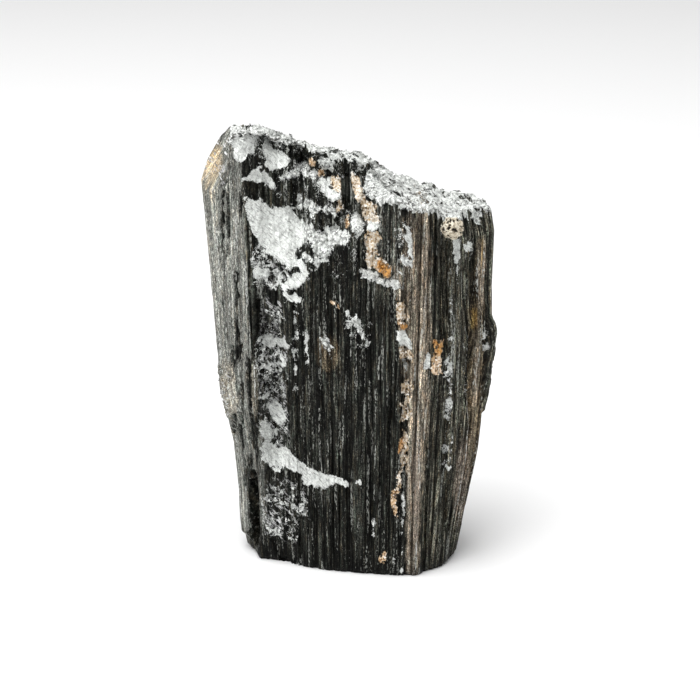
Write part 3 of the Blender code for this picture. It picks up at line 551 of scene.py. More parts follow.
        (-5.4, 43.8), (-4.2, 43.8), (-3.2, 42.7), (-2.1, 41.9), (-3.3, 41.5), (-3.2, 40.0), (-4.1, 41.4),
    ]),
    "foot facet": (RIPPLED, 0.0, [
        (-15.4, 13.5), (-11.4, 14.0), (-10.5, 11.8), (-9.0, 11.6), (-9.1, 7.6), (-9.5, 5.6), (-11.4, 5.8),
        (-14.1, 5.0), (-15.3, 7.1), (-15.8, 11.9),
    ]),
    "foot chip": (BARE, -0.6, [
        (-14.2, 4.8), (-12.8, 5.1), (-8.9, 1.3), (-9.0, 0.0), (-12.5, 0.0), (-13.1, 1.8),
    ]),
    "cleft floor": (BARE, -0.2, [
        (-18.2, 14.6), (-17.0, 15.2), (-16.2, 12.0), (-15.9, 6.0), (-15.4, 0.0), (-18.0, 0.0), (-18.3, 7.0),
    ]),
    "foot lumps": (BARE, 0.0, [
        (-18.4, 4.2), (-16.0, 5.0), (-14.4, 4.8), (-12.8, 1.6), (-12.4, 0.0), (-18.2, 0.0),
    ]),
    "speckled strip": (RIPPLED, 0.0, [(-8.7, 15.1), (-7.6, 15.1), (-6.9, 12.8), (-7.3, 9.4), (-8.6, 9.5)]),
    "white lump": (FACET, 0.5, [
        (7.9, 45.6), (8.9, 45.9), (9.6, 44.9), (10.2, 43.6), (10.4, 42.2), (9.3, 42.3), (8.0, 44.0),
    ]),
    "lower white lump": (VEIN, 0.3, [(8.4, 42.1), (10.3, 42.2), (10.6, 41.0), (10.3, 40.0), (9.1, 40.2)]),
    "ochre band": (RUST_VEIN, 0.2, [(8.2, 47.0), (9.8, 46.4), (9.8, 45.4), (8.7, 45.7)]),
    "pale line": (VEIN, 0.1, [
        (8.0, 50.5), (8.7, 50.4), (9.7, 47.8), (9.6, 47.0), (8.7, 46.8), (7.8, 47.4),
    ]),
    "dark gap": (LINES, -0.5, [(8.9, 39.9), (10.0, 40.2), (10.0, 38.0), (9.4, 36.7), (8.6, 38.2)]),
    "middle vein": (VEIN, 0.1, [(9.0, 36.8), (10.1, 37.0), (10.2, 29.6), (9.0, 29.2)]),
    "rust block": (RUST_VEIN, 0.5, [(14.4, 43.1), (16.2, 42.7), (15.9, 40.8), (15.4, 40.4), (14.4, 41.1)]),
    "tan block": (TAN_VEIN, 0.5, [(13.6, 41.1), (15.3, 40.5), (15.5, 37.3), (13.8, 37.0), (13.4, 38.8)]),
    "white block": (FACET, 0.5, [(12.9, 41.2), (13.6, 40.9), (13.5, 38.4), (12.7, 38.7)]),
    "silver line": (LINES, 0.2, [(16.9, 50.1), (17.2, 50.0), (17.5, 44.0), (17.2, 43.2)]),
    "silver plate": (LINES, 0.2, [(16.2, 39.0), (16.6, 39.5), (17.0, 38.0), (17.0, 36.0), (16.5, 35.4)]),
    "silver chain": (LINES, 0.2, [
        (17.0, 35.4), (17.4, 35.2), (17.2, 31.4), (17.2, 29.4), (16.8, 28.4), (16.4, 29.2), (16.8, 31.2),
    ]),
    "silver loop left": (LINES, 0.2, [(16.2, 26.0), (16.5, 26.0), (16.3, 20.2), (16.0, 20.2)]),
    "silver loop right": (LINES, 0.2, [
        (17.3, 24.4), (17.6, 25.2), (17.8, 23.4), (17.4, 20.2), (16.1, 19.7), (17.1, 20.9),
    ]),
    # A painted highlight: the loop glint is a pale facet.
    "loop glint": (FACET, 0.2, [(16.6, 19.4), (17.5, 19.6), (17.9, 19.0), (17.1, 18.6)]),
    "silver side": (LINES, 0.2, [(22.7, 43.2), (22.9, 43.0), (22.8, 39.4), (22.6, 39.6)]),
    "orange vein": (RUST_VEIN, 0.2, [(8.1, 25.8), (9.3, 26.1), (9.2, 23.7), (8.4, 23.6)]),
    "cream line": (VEIN, 0.2, [(9.2, 27.2), (9.9, 26.9), (9.7, 20.9), (8.8, 20.5), (9.1, 23.6)]),
    "cream knots": (VEIN, 0.3, [(7.9, 20.4), (8.9, 20.2), (9.0, 17.4), (8.1, 16.7), (8.4, 18.3)]),
    "tan loop": (TAN_VEIN, 0.1, [
        (7.3, 16.3), (8.1, 16.8), (8.6, 15.9), (8.1, 15.4), (8.0, 13.7), (8.7, 12.6), (8.5, 10.7),
        (8.0, 10.8), (7.8, 12.4), (7.1, 13.6),
    ]),
    "light line": (GREY, 0.2, [(9.2, 15.7), (9.4, 15.8), (9.2, 7.1), (9.0, 7.0)]),
    "lower light line": (GREY, 0.2, [(9.0, 5.9), (9.2, 6.2), (9.0, 0.1), (8.8, 0.0)]),
    "foot gold": (TAN_VEIN, 0.1, [(5.2, 3.9), (6.0, 5.2), (6.5, 4.5), (6.3, 3.0), (5.4, 2.9)]),
    "foot white": (LINES, 0.1, [(7.1, 4.6), (7.8, 4.8), (8.1, 1.7), (7.4, 2.0)]),
    "gold flecks": (LINES, 0.1, [(3.8, 11.0), (4.4, 11.3), (4.3, 7.6), (3.9, 7.5)]),
}
# Rough zones of the front, broken into small facets: x, level, half width, half height, relief, and frost
# with painted sheen.
ROUGH_ZONES = [
    (-13.3, 34.0, 2.9, 17.0, 0.55, 0.26),
    (-12.2, 10.0, 3.4, 7.6, 0.35, 0.25),
    (-5.0, 60.0, 9.0, 7.0, 0.22, 0.22),
    (-6.0, 70.0, 11.0, 4.6, 0.24, 0.26),
    (-12.5, 55.0, 4.6, 4.4, 0.35, 0.30),
    (-9.2, 41.0, 0.5, 9.0, 0.25, 0.42),
    (-7.4, 41.5, 0.4, 4.0, 0.25, 0.46),
    (1.4, 44.6, 2.6, 3.0, 0.15, 0.30),
    (8.6, 60.0, 1.6, 5.0, 0.20, 0.30),
    (17.0, 36.0, 0.5, 17.0, 0.20, 0.24),
    (20.0, 37.0, 0.5, 8.0, 0.20, 0.24),
    (23.5, 34.0, 1.2, 11.0, 0.15, 0.16),
    (-22.0, 30.0, 1.8, 5.5, 0.40, 0.20),
]


def inside_by(outline, x, z):
    """How far each point is inside a closed outline, under 0 outside: the distance to the nearest edge,
    signed by whether a line to the right crosses the outline an odd number of times."""
    ax, az = np.array(outline).T
    bx, bz = np.roll(ax, -1), np.roll(az, -1) + 1e-6
    x, z = x[:, None], z[:, None]
    share = ((x - ax) * (bx - ax) + (z - az) * (bz - az)) / ((bx - ax) ** 2 + (bz - az) ** 2)
    share = np.clip(share, 0.0, 1.0)
    gap = np.hypot(x - ax - share * (bx - ax), z - az - share * (bz - az)).min(axis=1)
    crossed = ((az > z) != (bz > z)) & (x < (bx - ax) * (z - az) / (bz - az) + ax)
    return np.where(crossed.sum(axis=1) % 2 == 1, gap, -gap)


def patchwork(x, z, front, jag):
    """The patches laid over each other in order: the lift and the finish at each point, with how far the
    patches cover it. Each edge is moved by the jags, more where the patch is crumbled."""
    lift, covered = np.zeros_like(x), np.zeros_like(x)
    finish = np.zeros((5, len(x)))
    for kind, rise, outline in PATCHES.values():
        low, high = np.min(outline, axis=0) - PATCH_FADE, np.max(outline, axis=0) + PATCH_FADE
        near = np.flatnonzero(front & (x > low[0]) & (x < high[0]) & (z > low[1]) & (z < high[1]))
        depth = inside_by(outline, x[near], z[near]) + jag[near] * (0.6 + kind[1])
        share = soft(0.5 + depth / (PATCH_STEP if kind is BARE else PATCH_FADE))
        lift[near] += (rise - lift[near]) * soft(0.5 + depth / PATCH_STEP)
        finish[:, near] += (np.array(kind)[:, None] - finish[:, near]) * share
        covered[near] += (1.0 - covered[near]) * share
    return lift, finish, covered


def side(u, z):
    """The side at share u round and level z: the loft, cut back towards the middle wall by the breaks, pits,
    ribs and grit. Gives x, y, and the frost with its painted sheen, crumb, vein, rust, grey, painted groove
    shade, rib tone and wear there."""
    x, y = loft(u, z)
    splinter = 0.5 * (ribs(u, z, *SPLINTERS)[1] - 0.5)
    ragged = sum(reach * waves(u, z, count, pitch, seed) for reach, count, pitch, seed in JAGS)
    (coarse, coarse_own), (fine, fine_own) = (lumps(u * ROUND_SIDE, z, size) for size in SIDE_LUMPS)
    front = y < WALL_FOOT_Y
    at_front = breaks(FRONT_BREAKS, x + ragged, z + 0.6 * ragged + splinter)
    at_back = breaks(BACK_BREAKS, x + 2 * ragged, z + ragged + 2 * splinter)
    depth, broken, frost_and_sheen_share, crumbled = (np.where(front, a, b) for a, b in zip(at_front, at_back))
    frost_and_sheen_share = np.where(front, FRONT_BREAK_FROST_AND_SHEEN, BACK_BREAK_FROST_AND_SHEEN) * frost_and_sheen_share
    crumbled = np.where(front, 0.6 * crumbled, crumbled + 0.3 * broken)
    depth = depth + np.where(front, pits(FRONT_PITS, x + 0.5 * ragged, z), 0.0)
    facet_frost_and_sheen = 0.75 * coarse_own + 0.5 * fine_own
    for zone_x, zone_z, half_width, half_height, relief, frost_and_sheen in ROUGH_ZONES:
        distance = np.abs((x + 2 * ragged - zone_x) / half_width) ** 4
        distance += np.abs((z + ragged - zone_z) / half_height) ** 4
        here = front * soft(2.0 * (1.0 - distance))
        crumbled = np.maximum(crumbled, relief * here)
        frost_and_sheen_share = np.maximum(frost_and_sheen_share, here * frost_and_sheen * (0.4 + facet_frost_and_sheen))
    jag = 0.9 * ragged + 0.35 * (fine_own - 0.5) + 0.6 * (coarse_own - 0.5)
    lift, finish, covered = patchwork(x, z, front, jag)
    nothing = np.zeros_like(x)
    finish += (1.0 - covered) * np.stack([frost_and_sheen_share, crumbled, nothing, nothing, nothing + UNPATCHED_GREY])
    crumbled = finish[1]
    depth = depth - lift
    past_corner = x - CORNER_FOOT_X - (CORNER_HEAD_X - CORNER_FOOT_X) * z / HEAD_LEVEL
    worn = soft(0.5 - past_corner / CORNER_BLEND) * (1.0 - covered) * soft((WORN_END_Y - y) / WORN_END_FADE)
    smooth = np.maximum(BREAK_RIB_LOSS * np.maximum(broken, covered), WORN_RIB_LOSS * worn)
    ribbed = (1.0 - smooth) * (FOOT_RIB_SHARE + (1.0 - FOOT_RIB_SHARE) * soft(z / FOOT_WEAR_AND_SHADE_LEVEL))
    ribbed = ribbed * (1.0 - CRUMB_RIB_LOSS * soft(crumbled / 0.5))
    groove, tone = np.zeros_like(x), np.zeros_like(x)
    for count, deep, run, seed, contrast in RIB_SETS:
        height, own = ribs(u, z, count, run, seed)
        depth = depth + deep * (0.5 + (0.5 - height) * ribbed)
        # Painted shade: the grooves between the ribs are noted to be painted darker, the crests lighter.
        groove += (0.5 - height) * ribbed * min(1.0, GROOVE_PAINTED_SHADE * deep ** 0.5) / len(RIB_SETS)
        tone += (own - 0.5) * contrast / len(RIB_SETS)
    rough = ROUGHNESS * waves(u, z, ROUGHNESS_CELLS, ROUGHNESS_PITCH, 13)
    depth += rough * soft(depth / 3.0) * (1.0 - 0.6 * broken)
    depth += crumbled * (COARSE_RELIEF * coarse + FINE_RELIEF * fine) + FRESH_RELIEF * broken * fine
    depth += FOOT_DRAW * soft(1.0 - z / FOOT_DRAW_LEVEL) - RIB_ALLOWANCE
    wall_x = np.clip(x, -WALL_HALF_LENGTH, WALL_HALF_LENGTH)
    wall_y = WALL_FOOT_Y + (WALL_HEAD_Y - WALL_FOOT_Y) * z / HEAD_LEVEL
    span = np.hypot(x - wall_x, y - wall_y)
    kept = 1.0 - np.minimum(depth, span - LEAST_THICKNESS) / span
    finish = np.stack([*finish, groove, tone, worn])
    return wall_x + (x - wall_x) * kept, wall_y + (y - wall_y) * kept, finish


def head_level(x, y):
    """The broken head's level over the plan, with a share from 0 to 1.1 of each facet's own: the skyline,
    falling to the back, in column tops, lumps and crumb, under the chamfer's sloping plane on the left."""
    level = np.interp(x, *np.array(SKYLINE).T)
    level -= BACK_FALL * np.maximum(y - SKYLINE_Y, 0) + FRONT_FALL * np.maximum(SKYLINE_Y - y, 0)
    i = np.floor(x / COLUMN_TOP_WIDTH + 0.4 * np.sin(y * 0.9))
    j = np.floor(y / COLUMN_TOP_DEPTH + 0.5 * np.sin(x * 0.7))
    level -= COLUMN_TOP_STEP * chance(i, j, 21) * (0.35 + 0.65 * soft((y + 4.0) / 5.0)) * soft((x + 24) / 3)
    corner_x, corner_y, corner_z = CHAMFER_CORNER
    chamfer = corner_z + CHAMFER_RISE * (x - corner_x + y - corner_y)
    off_chamfer = soft((x - CHAMFER_EDGE) / CHAMFER_BLEND)
    level = level * off_chamfer + np.minimum(level, chamfer) * (1.0 - off_chamfer)
    (coarse, coarse_own), (fine, fine_own) = (lumps(x, y, size) for size in HEAD_LUMPS)
    relief = HEAD_COARSE_RELIEF * coarse + HEAD_FINE_RELIEF * fine - HEAD_LOWERING
    level += soft((x + 23.5) / 6.0) * relief
    return level, 0.62 * coarse_own + 0.5 * fine_own


def rim_level(u):
    """The level at which the side meets the broken head, closed in on by halving the error."""
    z = np.full_like(u, 60.0)
    for _ in range(40):
        x, y, _finish = side(u, z)
        z += 0.5 * (head_level(x, y)[0] - z)
    return z


def with_ends(values, foot=0.0, head=0.0):
    """The values of the grid, then that of the foot's middle point and that of the head's."""
    return np.concatenate([values, [foot, head]])


steps = np.concatenate([
    np.linspace(0, FRONT_SHARE, FRONT_STEPS, endpoint=False),
    np.linspace(FRONT_SHARE, 1, BACK_STEPS, endpoint=False),
])
rows = np.arange(1, SIDE_ROWS + 2 * CAP_ROWS)
u = np.tile(steps, len(rows))
row = np.repeat(rows, len(steps)).astype(float)
rim = np.tile(rim_level(steps), len(rows))
level = rim * np.clip((row - CAP_ROWS) / SIDE_ROWS, 0.0, 1.0)
inward = np.clip(1.0 - row / CAP_ROWS, 0.0, 1.0)
inward += np.clip((row - CAP_ROWS - SIDE_ROWS) / CAP_ROWS, 0.0, 1.0)
on_head = row > CAP_ROWS + SIDE_ROWS
x, y, finish = side(u, level)
frost_and_sheen_share, crumbled, vein, rust, grey, groove, tone, worn = finish
x = x * (1.0 - inward)
y = y + (np.where(on_head, HEAD_MIDDLE_Y, 0.0) - y) * inward
head, head_own = head_level(x, y)
level = np.where(on_head, head, level)
# The lip: the frosted strip of the side just under the head's broken edge, painted pale with a sheen.
lip = soft((level - rim + 0.45 + 0.7 * waves(u, level, 150, 1.2, 17)) / 0.3)
lip *= soft((x - CHAMFER_EDGE - 0.4) / CHAMFER_BLEND)
# The broken head is painted pale, frost with a painted sheen, more on some facets than on others.
head_frost_and_sheen = (0.38 + 0.55 * head_own) * soft((x - CHAMFER_EDGE) / CHAMFER_BLEND)
frost_and_sheen_share = np.where(on_head, head_frost_and_sheen, np.maximum(frost_and_sheen_share, lip * (0.6 + 0.4 * head_own)))
crumbled = np.where(on_head, 0.5, np.maximum(crumbled, 0.6 * lip))
off_side = on_head | (row < CAP_ROWS)
vein, rust, grey, groove, worn = (np.where(off_side, 0.0, part) for part in (vein, rust, grey, groove, worn))
grey = grey * (1.0 - lip)
middle_head = head_level(np.zeros(1), np.full(1, HEAD_MIDDLE_Y))[0][0]
middles = [(0, 0, 0), (0, HEAD_MIDDLE_Y, middle_head)]
points = np.vstack([np.stack([x - FOOT_MIDDLE[0], y - FOOT_MIDDLE[1], level], axis=1), middles])
# The grain: where each point would be on a prism as wide as at this level, so that its lines run up the ribs.
GRAIN_LEVEL = 35.0
around_x, around_y = loft(u, np.full_like(u, GRAIN_LEVEL))
grain = np.vstack([np.stack([around_x, around_y, level], axis=1), middles])

# Stains of the stone's skin: colour, how much it hides the fibres, then x, level, half width, half height and
# strength of each.
BLACK = (0.0207, 0.0213, 0.0180)
WORN_GREY = (0.245, 0.248, 0.226)
OLIVE = (0.066, 0.064, 0.051)
STEEL = (0.088, 0.090, 0.081)
TAN = (0.285, 0.242, 0.190)
BROWN = (0.125, 0.098, 0.065)
CREAM = (0.66, 0.54, 0.38)
GOLD = (0.62, 0.40, 0.14)
PINK = (0.300, 0.250, 0.205)
STRAW = (0.39, 0.36, 0.30)
TAUPE = (0.25, 0.235, 0.195)
STAINS = [
    (OLIVE, 0.0, 18.5, 34.0, 8.0, 44.0, 1.0),
    (OLIVE, 0.2, 6.0, 59.5, 3.4, 8.0, 1.0),
    (STEEL, 0.3, 6.4, 60.0, 2.6, 7.0, 0.6),
    (STEEL, 0.1, -13.4, 33.0, 3.4, 16.0, 0.2),
    (STRAW, 1.1, -21.4, 31.0, 1.7, 5.6, 0.7),
    (PINK, 1.0, -24.6, 54.0, 0.7, 7.0, 0.3),
    (TAUPE, 1.2, -16.4, 33.0, 0.6, 5.5, 0.8),
    (CREAM, 1.7, -24.4, 71.9, 2.6, 5.2, 0.9),
    (GOLD, 1.2, -23.3, 70.6, 0.8, 2.4, 0.6),
    (TAN, 0.5, 11.0, 50.0, 2.7, 19.0, 0.75),
    (TAN, 0.5, 11.6, 42.0, 2.1, 29.0, 0.95),
    (WORN_GREY, 1.0, -21.1, 73.0, 1.0, 5.0, 1.0),
    (TAN, 0.6, 11.0, 12.0, 1.4, 20.0, 0.85),
    (PINK, 1.2, 11.4, 16.0, 0.7, 12.0, 0.85),
    (TAN, 1.1, 7.9, 54.0, 0.8, 3.4, 0.5),
    (BROWN, 0.6, 21.6, 34.0, 1.6, 24.0, 0.8),
    (TAN, 1.1, 21.7, 37.0, 0.7, 8.6, 0.7),
    (TAN, 1.1, 22.4, 55.6, 0.9, 3.6, 0.9),
    (TAN, 1.1, 22.3, 49.6, 0.7, 3.2, 0.9),
    (GOLD, 1.2, 21.2, 45.4, 0.5, 2.0, 0.8),
    (GOLD, 1.2, 22.6, 56.0, 0.5, 1.2, 0.7),
    (PINK, 1.2, 19.6, 14.8, 1.6, 9.4, 0.6),
    (BROWN, 0.6, -3.9, 40.8, 2.0, 3.4, 0.6),
    (WORN_GREY, 1.0, -15.4, 16.0, 0.9, 10.0, 0.7),
    (STEEL, 0.0, -18.6, 22.0, 1.5, 9.0, 0.35),
    (OLIVE, 0.0, -19.4, 0.0, 4.0, 4.4, 0.8),
]
px, py, pz = points.T
round_u = with_ends(u)
worn = with_ends(worn)
tint = np.array(BLACK) + (np.array(WORN_GREY) - np.array(BLACK)) * worn[:, None]
edge = 0.35 * waves(round_u, pz, 300, 0.9, 91) + 0.2 * waves(round_u, pz, 700, 0.4, 92)
for colour, hiding, sx, sz, half_width, half_height, strength in STAINS:
    distance = np.abs((px - sx) / half_width) ** 2.5 + np.abs((pz - sz) / half_height) ** 3
    cover = strength * soft(2.2 * (1.0 - distance + edge)) * (py < 1.0)
    tint += (np.array(colour) - tint) * cover[:, None]
    worn = np.maximum(worn, hiding * cover)
# Painted shade: the skin's colour is darkened towards the foot.
tint *= (0.3 + 0.7 * soft((pz + 1.0) / FOOT_WEAR_AND_SHADE_LEVEL))[:, None]


def closed_skin(name, points, across):
    """A mesh from points in rows of `across`, each row a closed ring, with one last point under and one over
    them. Neighbouring rings are joined by four-sided faces and the ends by triangles, all facing out."""
    rings = (len(points) - 2) // across
    first = np.arange((rings - 1) * across).reshape(rings - 1, across)
    after = np.roll(first, -1, axis=1)
    quads = np.stack([first, after, after + across, first + across], axis=-1).reshape(-1, 4)
    ring = np.arange(across)
    turned = np.roll(ring, -1)
    low = np.stack([turned, ring, np.full(across, rings * across)], axis=1)
    high = np.stack([ring, turned, np.full(across, rings * across + 1)], axis=1)
    high[:, :2] += (rings - 1) * across
    mesh = bpy.data.meshes.new(name)
    mesh.vertices.add(len(points))
    mesh.vertices.foreach_set("co", (points * MM).astype(np.float32).ravel())
    corners = np.concatenate([quads.ravel(), low.ravel(), high.ravel()])
    sizes = np.concatenate([np.full(len(quads), 4), np.full(2 * across, 3)])
    mesh.loops.add(len(corners))
    mesh.loops.foreach_set("vertex_index", corners.astype(np.int32))
    mesh.polygons.add(len(sizes))
    mesh.polygons.foreach_set("loop_start", np.append(0, np.cumsum(sizes)[:-1]).astype(np.int32))
    mesh.update(calc_edges=True)
    mesh.validate()
    return mesh


def note(mesh, name, values):
    """Writes one number, three numbers or a colour for each point of the mesh under a name."""
    kind, field = {1: ("FLOAT", "value"), 3: ("FLOAT_VECTOR", "vector"), 4: ("FLOAT_COLOR", "color")}[
        1 if values.ndim == 1 else values.shape[1]
    ]
    data = mesh.attributes.new(name, kind, "POINT").data
    data.foreach_set(field, values.astype(np.float32).ravel())


def standing(mesh, material):
    """A new object of the mesh in the material, put in the scene at the origin."""
    mesh.materials.append(material)
    thing = bpy.data.objects.new(mesh.name, mesh)
    bpy.context.scene.collection.objects.link(thing)
    return thing


def plain_material(name):
    """A new material, with its tree of nodes and its shader."""
    material = bpy.data.materials.new(name)
    material.use_nodes = True
    return material, material.node_tree, material.node_tree.nodes["Principled BSDF"]


def add(tree, kind, links=(), **settings):
    """One node of a material with its settings and its inputs: numbers, colours or other nodes' outputs."""
    node = tree.nodes.new(kind)
    for key, value in settings.items():
        setattr(node, key, value)
    for socket, value in dict(links).items():
        if isinstance(value, bpy.types.NodeSocket):
            tree.links.new(value, node.inputs[socket])
        else:
            node.inputs[socket].default_value = value
    return node


def noted(tree, name, output="Fac"):
    """What is noted on the mesh under a name."""
    return add(tree, "ShaderNodeAttribute", attribute_name=name).outputs[output]


def place_in_mm(tree):
    """Where a point is on the piece, in millimetres."""
    place = add(tree, "ShaderNodeTexCoord").outputs["Object"]
    return add(tree, "ShaderNodeVectorMath", {0: place, 3: 1 / MM}, operation="SCALE").outputs[0]


def maths(tree, operation, first, *others):
    """The operation done on the first value and each of the others in turn."""
    for other in others:
        first = add(tree, "ShaderNodeMath", {0: first, 1: other}, operation=operation).outputs[0]
    return first


def between(tree, value, low, high, out_low=0.0, out_high=1.0):
    """Maps value from low..high to out_low..out_high, clipped."""
    ends = {0: value, 1: low, 2: high, 3: out_low, 4: out_high}
    return add(tree, "ShaderNodeMapRange", ends).outputs[0]


def blend(tree, share, a, b, kind="MIX"):
    """Mixes two colours."""
    return add(tree, "ShaderNodeMix", {0: share, 6: a, 7: b}, data_type="RGBA", blend_type=kind).outputs[2]


def graded(tree, value, stops):
    """The colour of a value from 0 to 1, read between the stops' colours."""
    node = add(tree, "ShaderNodeValToRGB", {0: value})
    for position, colour in stops[2:]:
        node.color_ramp.elements.new(position).color = (*colour, 1.0)
    for element, (position, colour) in zip(node.color_ramp.elements, stops):
        element.position, element.color = position, (*colour, 1.0)
    return node.outputs[0]


def scaled(tree, vector, by):
    """A vector with each of its parts multiplied by its own number."""
    return add(tree, "ShaderNodeVectorMath", {0: vector, 1: by}, operation="MULTIPLY").outputs[0]


def noise(tree, vector, across, along, detail=2.0):
    """Noise on a vector in mm, in cells `across` mm wide and `along` mm tall."""
    vector = scaled(tree, vector, (1 / across, 1 / across, 1 / along))
    links = {"Vector": vector, "Scale": 1.0, "Detail": detail, "Roughness": 0.55}
    return add(tree, "ShaderNodeTexNoise", links).outputs[0]


def cells(tree, vector, size=1.0):
    """Two numbers from 0 to 1 for each lump of a broken surface, the same all over the lump: cells `size` mm
    wide."""
    links = {"Vector": vector, "Scale": 1 / size}
    colour = add(tree, "ShaderNodeTexVoronoi", links, voronoi_dimensions="3D").outputs["Color"]
    return add(tree, "ShaderNodeSeparateColor", {0: colour}).outputs[:2]


def creases(tree, vector, size, low, high):
    """1 on the creases between lumps `size` mm wide, falling to 0 from low to high of a cell away."""
    kind = {"voronoi_dimensions": "3D", "feature": "DISTANCE_TO_EDGE"}
    gap = add(tree, "ShaderNodeTexVoronoi", {"Vector": vector, "Scale": 1 / size}, **kind).outputs[0]
    return between(tree, gap, low, high, 1.0, 0.0)


def fibres(tree, vector, across, along):
    """The splinters of the grain, `across` mm wide and `along` mm long: two numbers from 0 to 1 for each
    splinter, and 1 in the gaps between them."""
    vector = scaled(tree, vector, (1 / across, 1 / across, 1 / along))
    return *cells(tree, vector), creases(tree, vector, 1.0, 0.04, 0.13)


def schorl():
    """Black glassy ribs split into light and dark fibres, painted shade in the grooves and painted glints,
    frosted facets with painted sheen and crumb on the fresh breaks, and the cream, tan and rusty grains of
    the vein."""
    material, tree, shader = plain_material("schorl")
    plus, times = (partial(maths, tree, kind) for kind in ("ADD", "MULTIPLY"))
    run = noted(tree, "grain", "Vector")
    skin = noted(tree, "tint", "Color")
    marks = ("frost_and_sheen", "crumb", "vein", "rust", "grey", "groove", "tone", "worn")
    frost_and_sheen, crumb, vein, rust, greyed, low, rib, worn = (noted(tree, name) for name in marks)
    place = place_in_mm(tree)
    swirl = add(tree, "ShaderNodeTexNoise", {"Vector": place, "Scale": 1.4, "Detail": 3.0}).outputs["Color"]
    swirl = scaled(tree, swirl, (0.3, 0.3, 0.3))
    bent = add(tree, "ShaderNodeVectorMath", {0: place, 1: swirl}).outputs[0]

    # The grown skin: fibres of four widths, and grit. Each part makes it so many times two lighter or darker.
    band = noise(tree, run, 1.1, 18.0)
    splinter, splinter_kind, splinter_gap = fibres(tree, run, 0.95, 24.0)
    fibre, fibre_kind, fibre_gap = fibres(tree, run, 0.34, 6.0)
    hair = noise(tree, run, 0.17, 4.0, 1.0)
    dash = noise(tree, run, 0.12, 0.55)
    grit = noise(tree, place, 0.15, 0.15, 1.0)
    fleck = noise(tree, place, 0.22, 0.9, 1.0)
    coarse = plus(*(between(tree, *part) for part in (
        (band, 0.35, 0.65, -0.5, 0.5),
        (splinter, 0.0, 1.0, -0.5, 0.5),
        (fibre, 0.0, 1.0, -0.9, 0.9),
        (hair, 0.32, 0.68, -1.2, 1.2),
        (rib, -0.8, 0.8, -0.9, 0.9),
        # Painted shade: darker in the grooves noted on the mesh, lighter on the crests between them.
        (low, -0.3, 0.3, 1.2, -1.5),
        (splinter_gap, 0.0, 1.0, 0.0, -1.6),
        (fibre_gap, 0.0, 1.0, 0.0, -1.2),
    )))
    fine = plus(
        between(tree, dash, 0.30, 0.70, -1.6, 1.6),
        between(tree, grit, 0.28, 0.72, -1.8, 1.8),
        times(between(tree, fleck, 0.56, 0.64, 0.0, -1.7), between(tree, worn, 0.3, 0.8)),
    )
    coarse = times(coarse, between(tree, worn, 0.0, 1.2, 1.0, 0.30))
    fine = times(fine, between(tree, worn, 0.0, 1.7, 1.0, 0.45))
    lightness = maths(tree, "MINIMUM", maths(tree, "POWER", 2.0, plus(coarse, fine)), 9.0)
    body = blend(tree, 1.0, skin, lightness, "MULTIPLY")
    hue = noise(tree, run, 0.3, 2.4)
    fresh_hue = between(tree, worn, 0.0, 1.0, 0.8, 0.35)
    warm = times(between(tree, hue, 0.53, 0.66), fresh_hue)
    cool = times(between(tree, hue, 0.47, 0.36), fresh_hue)
    body = blend(tree, warm, body, (1.2, 1.0, 0.78, 1.0), "MULTIPLY")
    body = blend(tree, cool, body, (0.88, 1.03, 0.98, 1.0), "MULTIPLY")
    # Painted glints: sparse pale dashes put in the colour of the fibres as highlights, fewer in the grooves.
    glint = plus(times(fibre_kind, 0.6), times(dash, 0.8))
    glint = times(between(tree, glint, 0.97, 1.03), between(tree, low, -0.1, 0.2, 0.95, 0.2))
    glint_colour = blend(tree, worn, (0.36, 0.37, 0.34, 1.0), (0.62, 0.63, 0.60, 1.0))
    body = blend(tree, glint, body, glint_colour)

    # Slanting flakes on crumbled ground, and the strokes across the pale facets.
    chip, chip_tone = cells(tree, bent, 0.33)
    lump, lump_tone = cells(tree, bent, 1.15)
    crease = creases(tree, bent, 0.95, 0.03, 0.12)
    turn = {"Vector": bent, "Angle": -0.7}
    turned = add(tree, "ShaderNodeVectorRotate", turn, rotation_type="Y_AXIS").outputs[0]
    stroke = between(tree, noise(tree, turned, 1.1, 0.15, 1.0), 0.55, 0.66)
    tilted = scaled(tree, turned, (1 / 1.25, 1.0, 1 / 0.36))
    flake, flake_tone = cells(tree, tilted)
    flaked = times(between(tree, flake, 0.70, 0.72), between(tree, crumb, 0.27, 0.45))
    flaked = times(flaked, maths(tree, "SUBTRACT", 1.0, creases(tree, tilted, 1.0, 0.05, 0.2)))
    body = blend(tree, flaked, body, between(tree, plus(flake_tone, grit), 0.3, 1.6, 0.04, 0.75))

    # The vein's filling. The edges of it and of the frost and painted sheen wander by chips and grit, more
    # where crumbled.
    wander = times(plus(times(chip, 0.8), times(lump, 1.2), -1.0), between(tree, crumb, 0.0, 0.7, 0.18, 0.6))
    wander = plus(wander, times(plus(grit, -0.5), 0.7))
    filled = between(tree, plus(vein, wander), 0.46, 0.54)
    strip = cells(tree, scaled(tree, run, (3.0, 3.0, 0.6)))[0]
    spread = plus(times(chip_tone, 0.6), times(strip, 0.5), -0.2, times(grit, 0.4))
    filling = graded(tree, spread, [
        (0.12, (0.035, 0.024, 0.014)), (0.30, (0.26, 0.17, 0.09)), (0.48, (0.55, 0.42, 0.27)),
        (0.66, (0.66, 0.56, 0.42)), (0.86, (0.88, 0.84, 0.78)),
    ])
    body = blend(tree, filled, body, blend(tree, rust, filling, (0.92, 0.54, 0.20, 1.0), "MULTIPLY"))

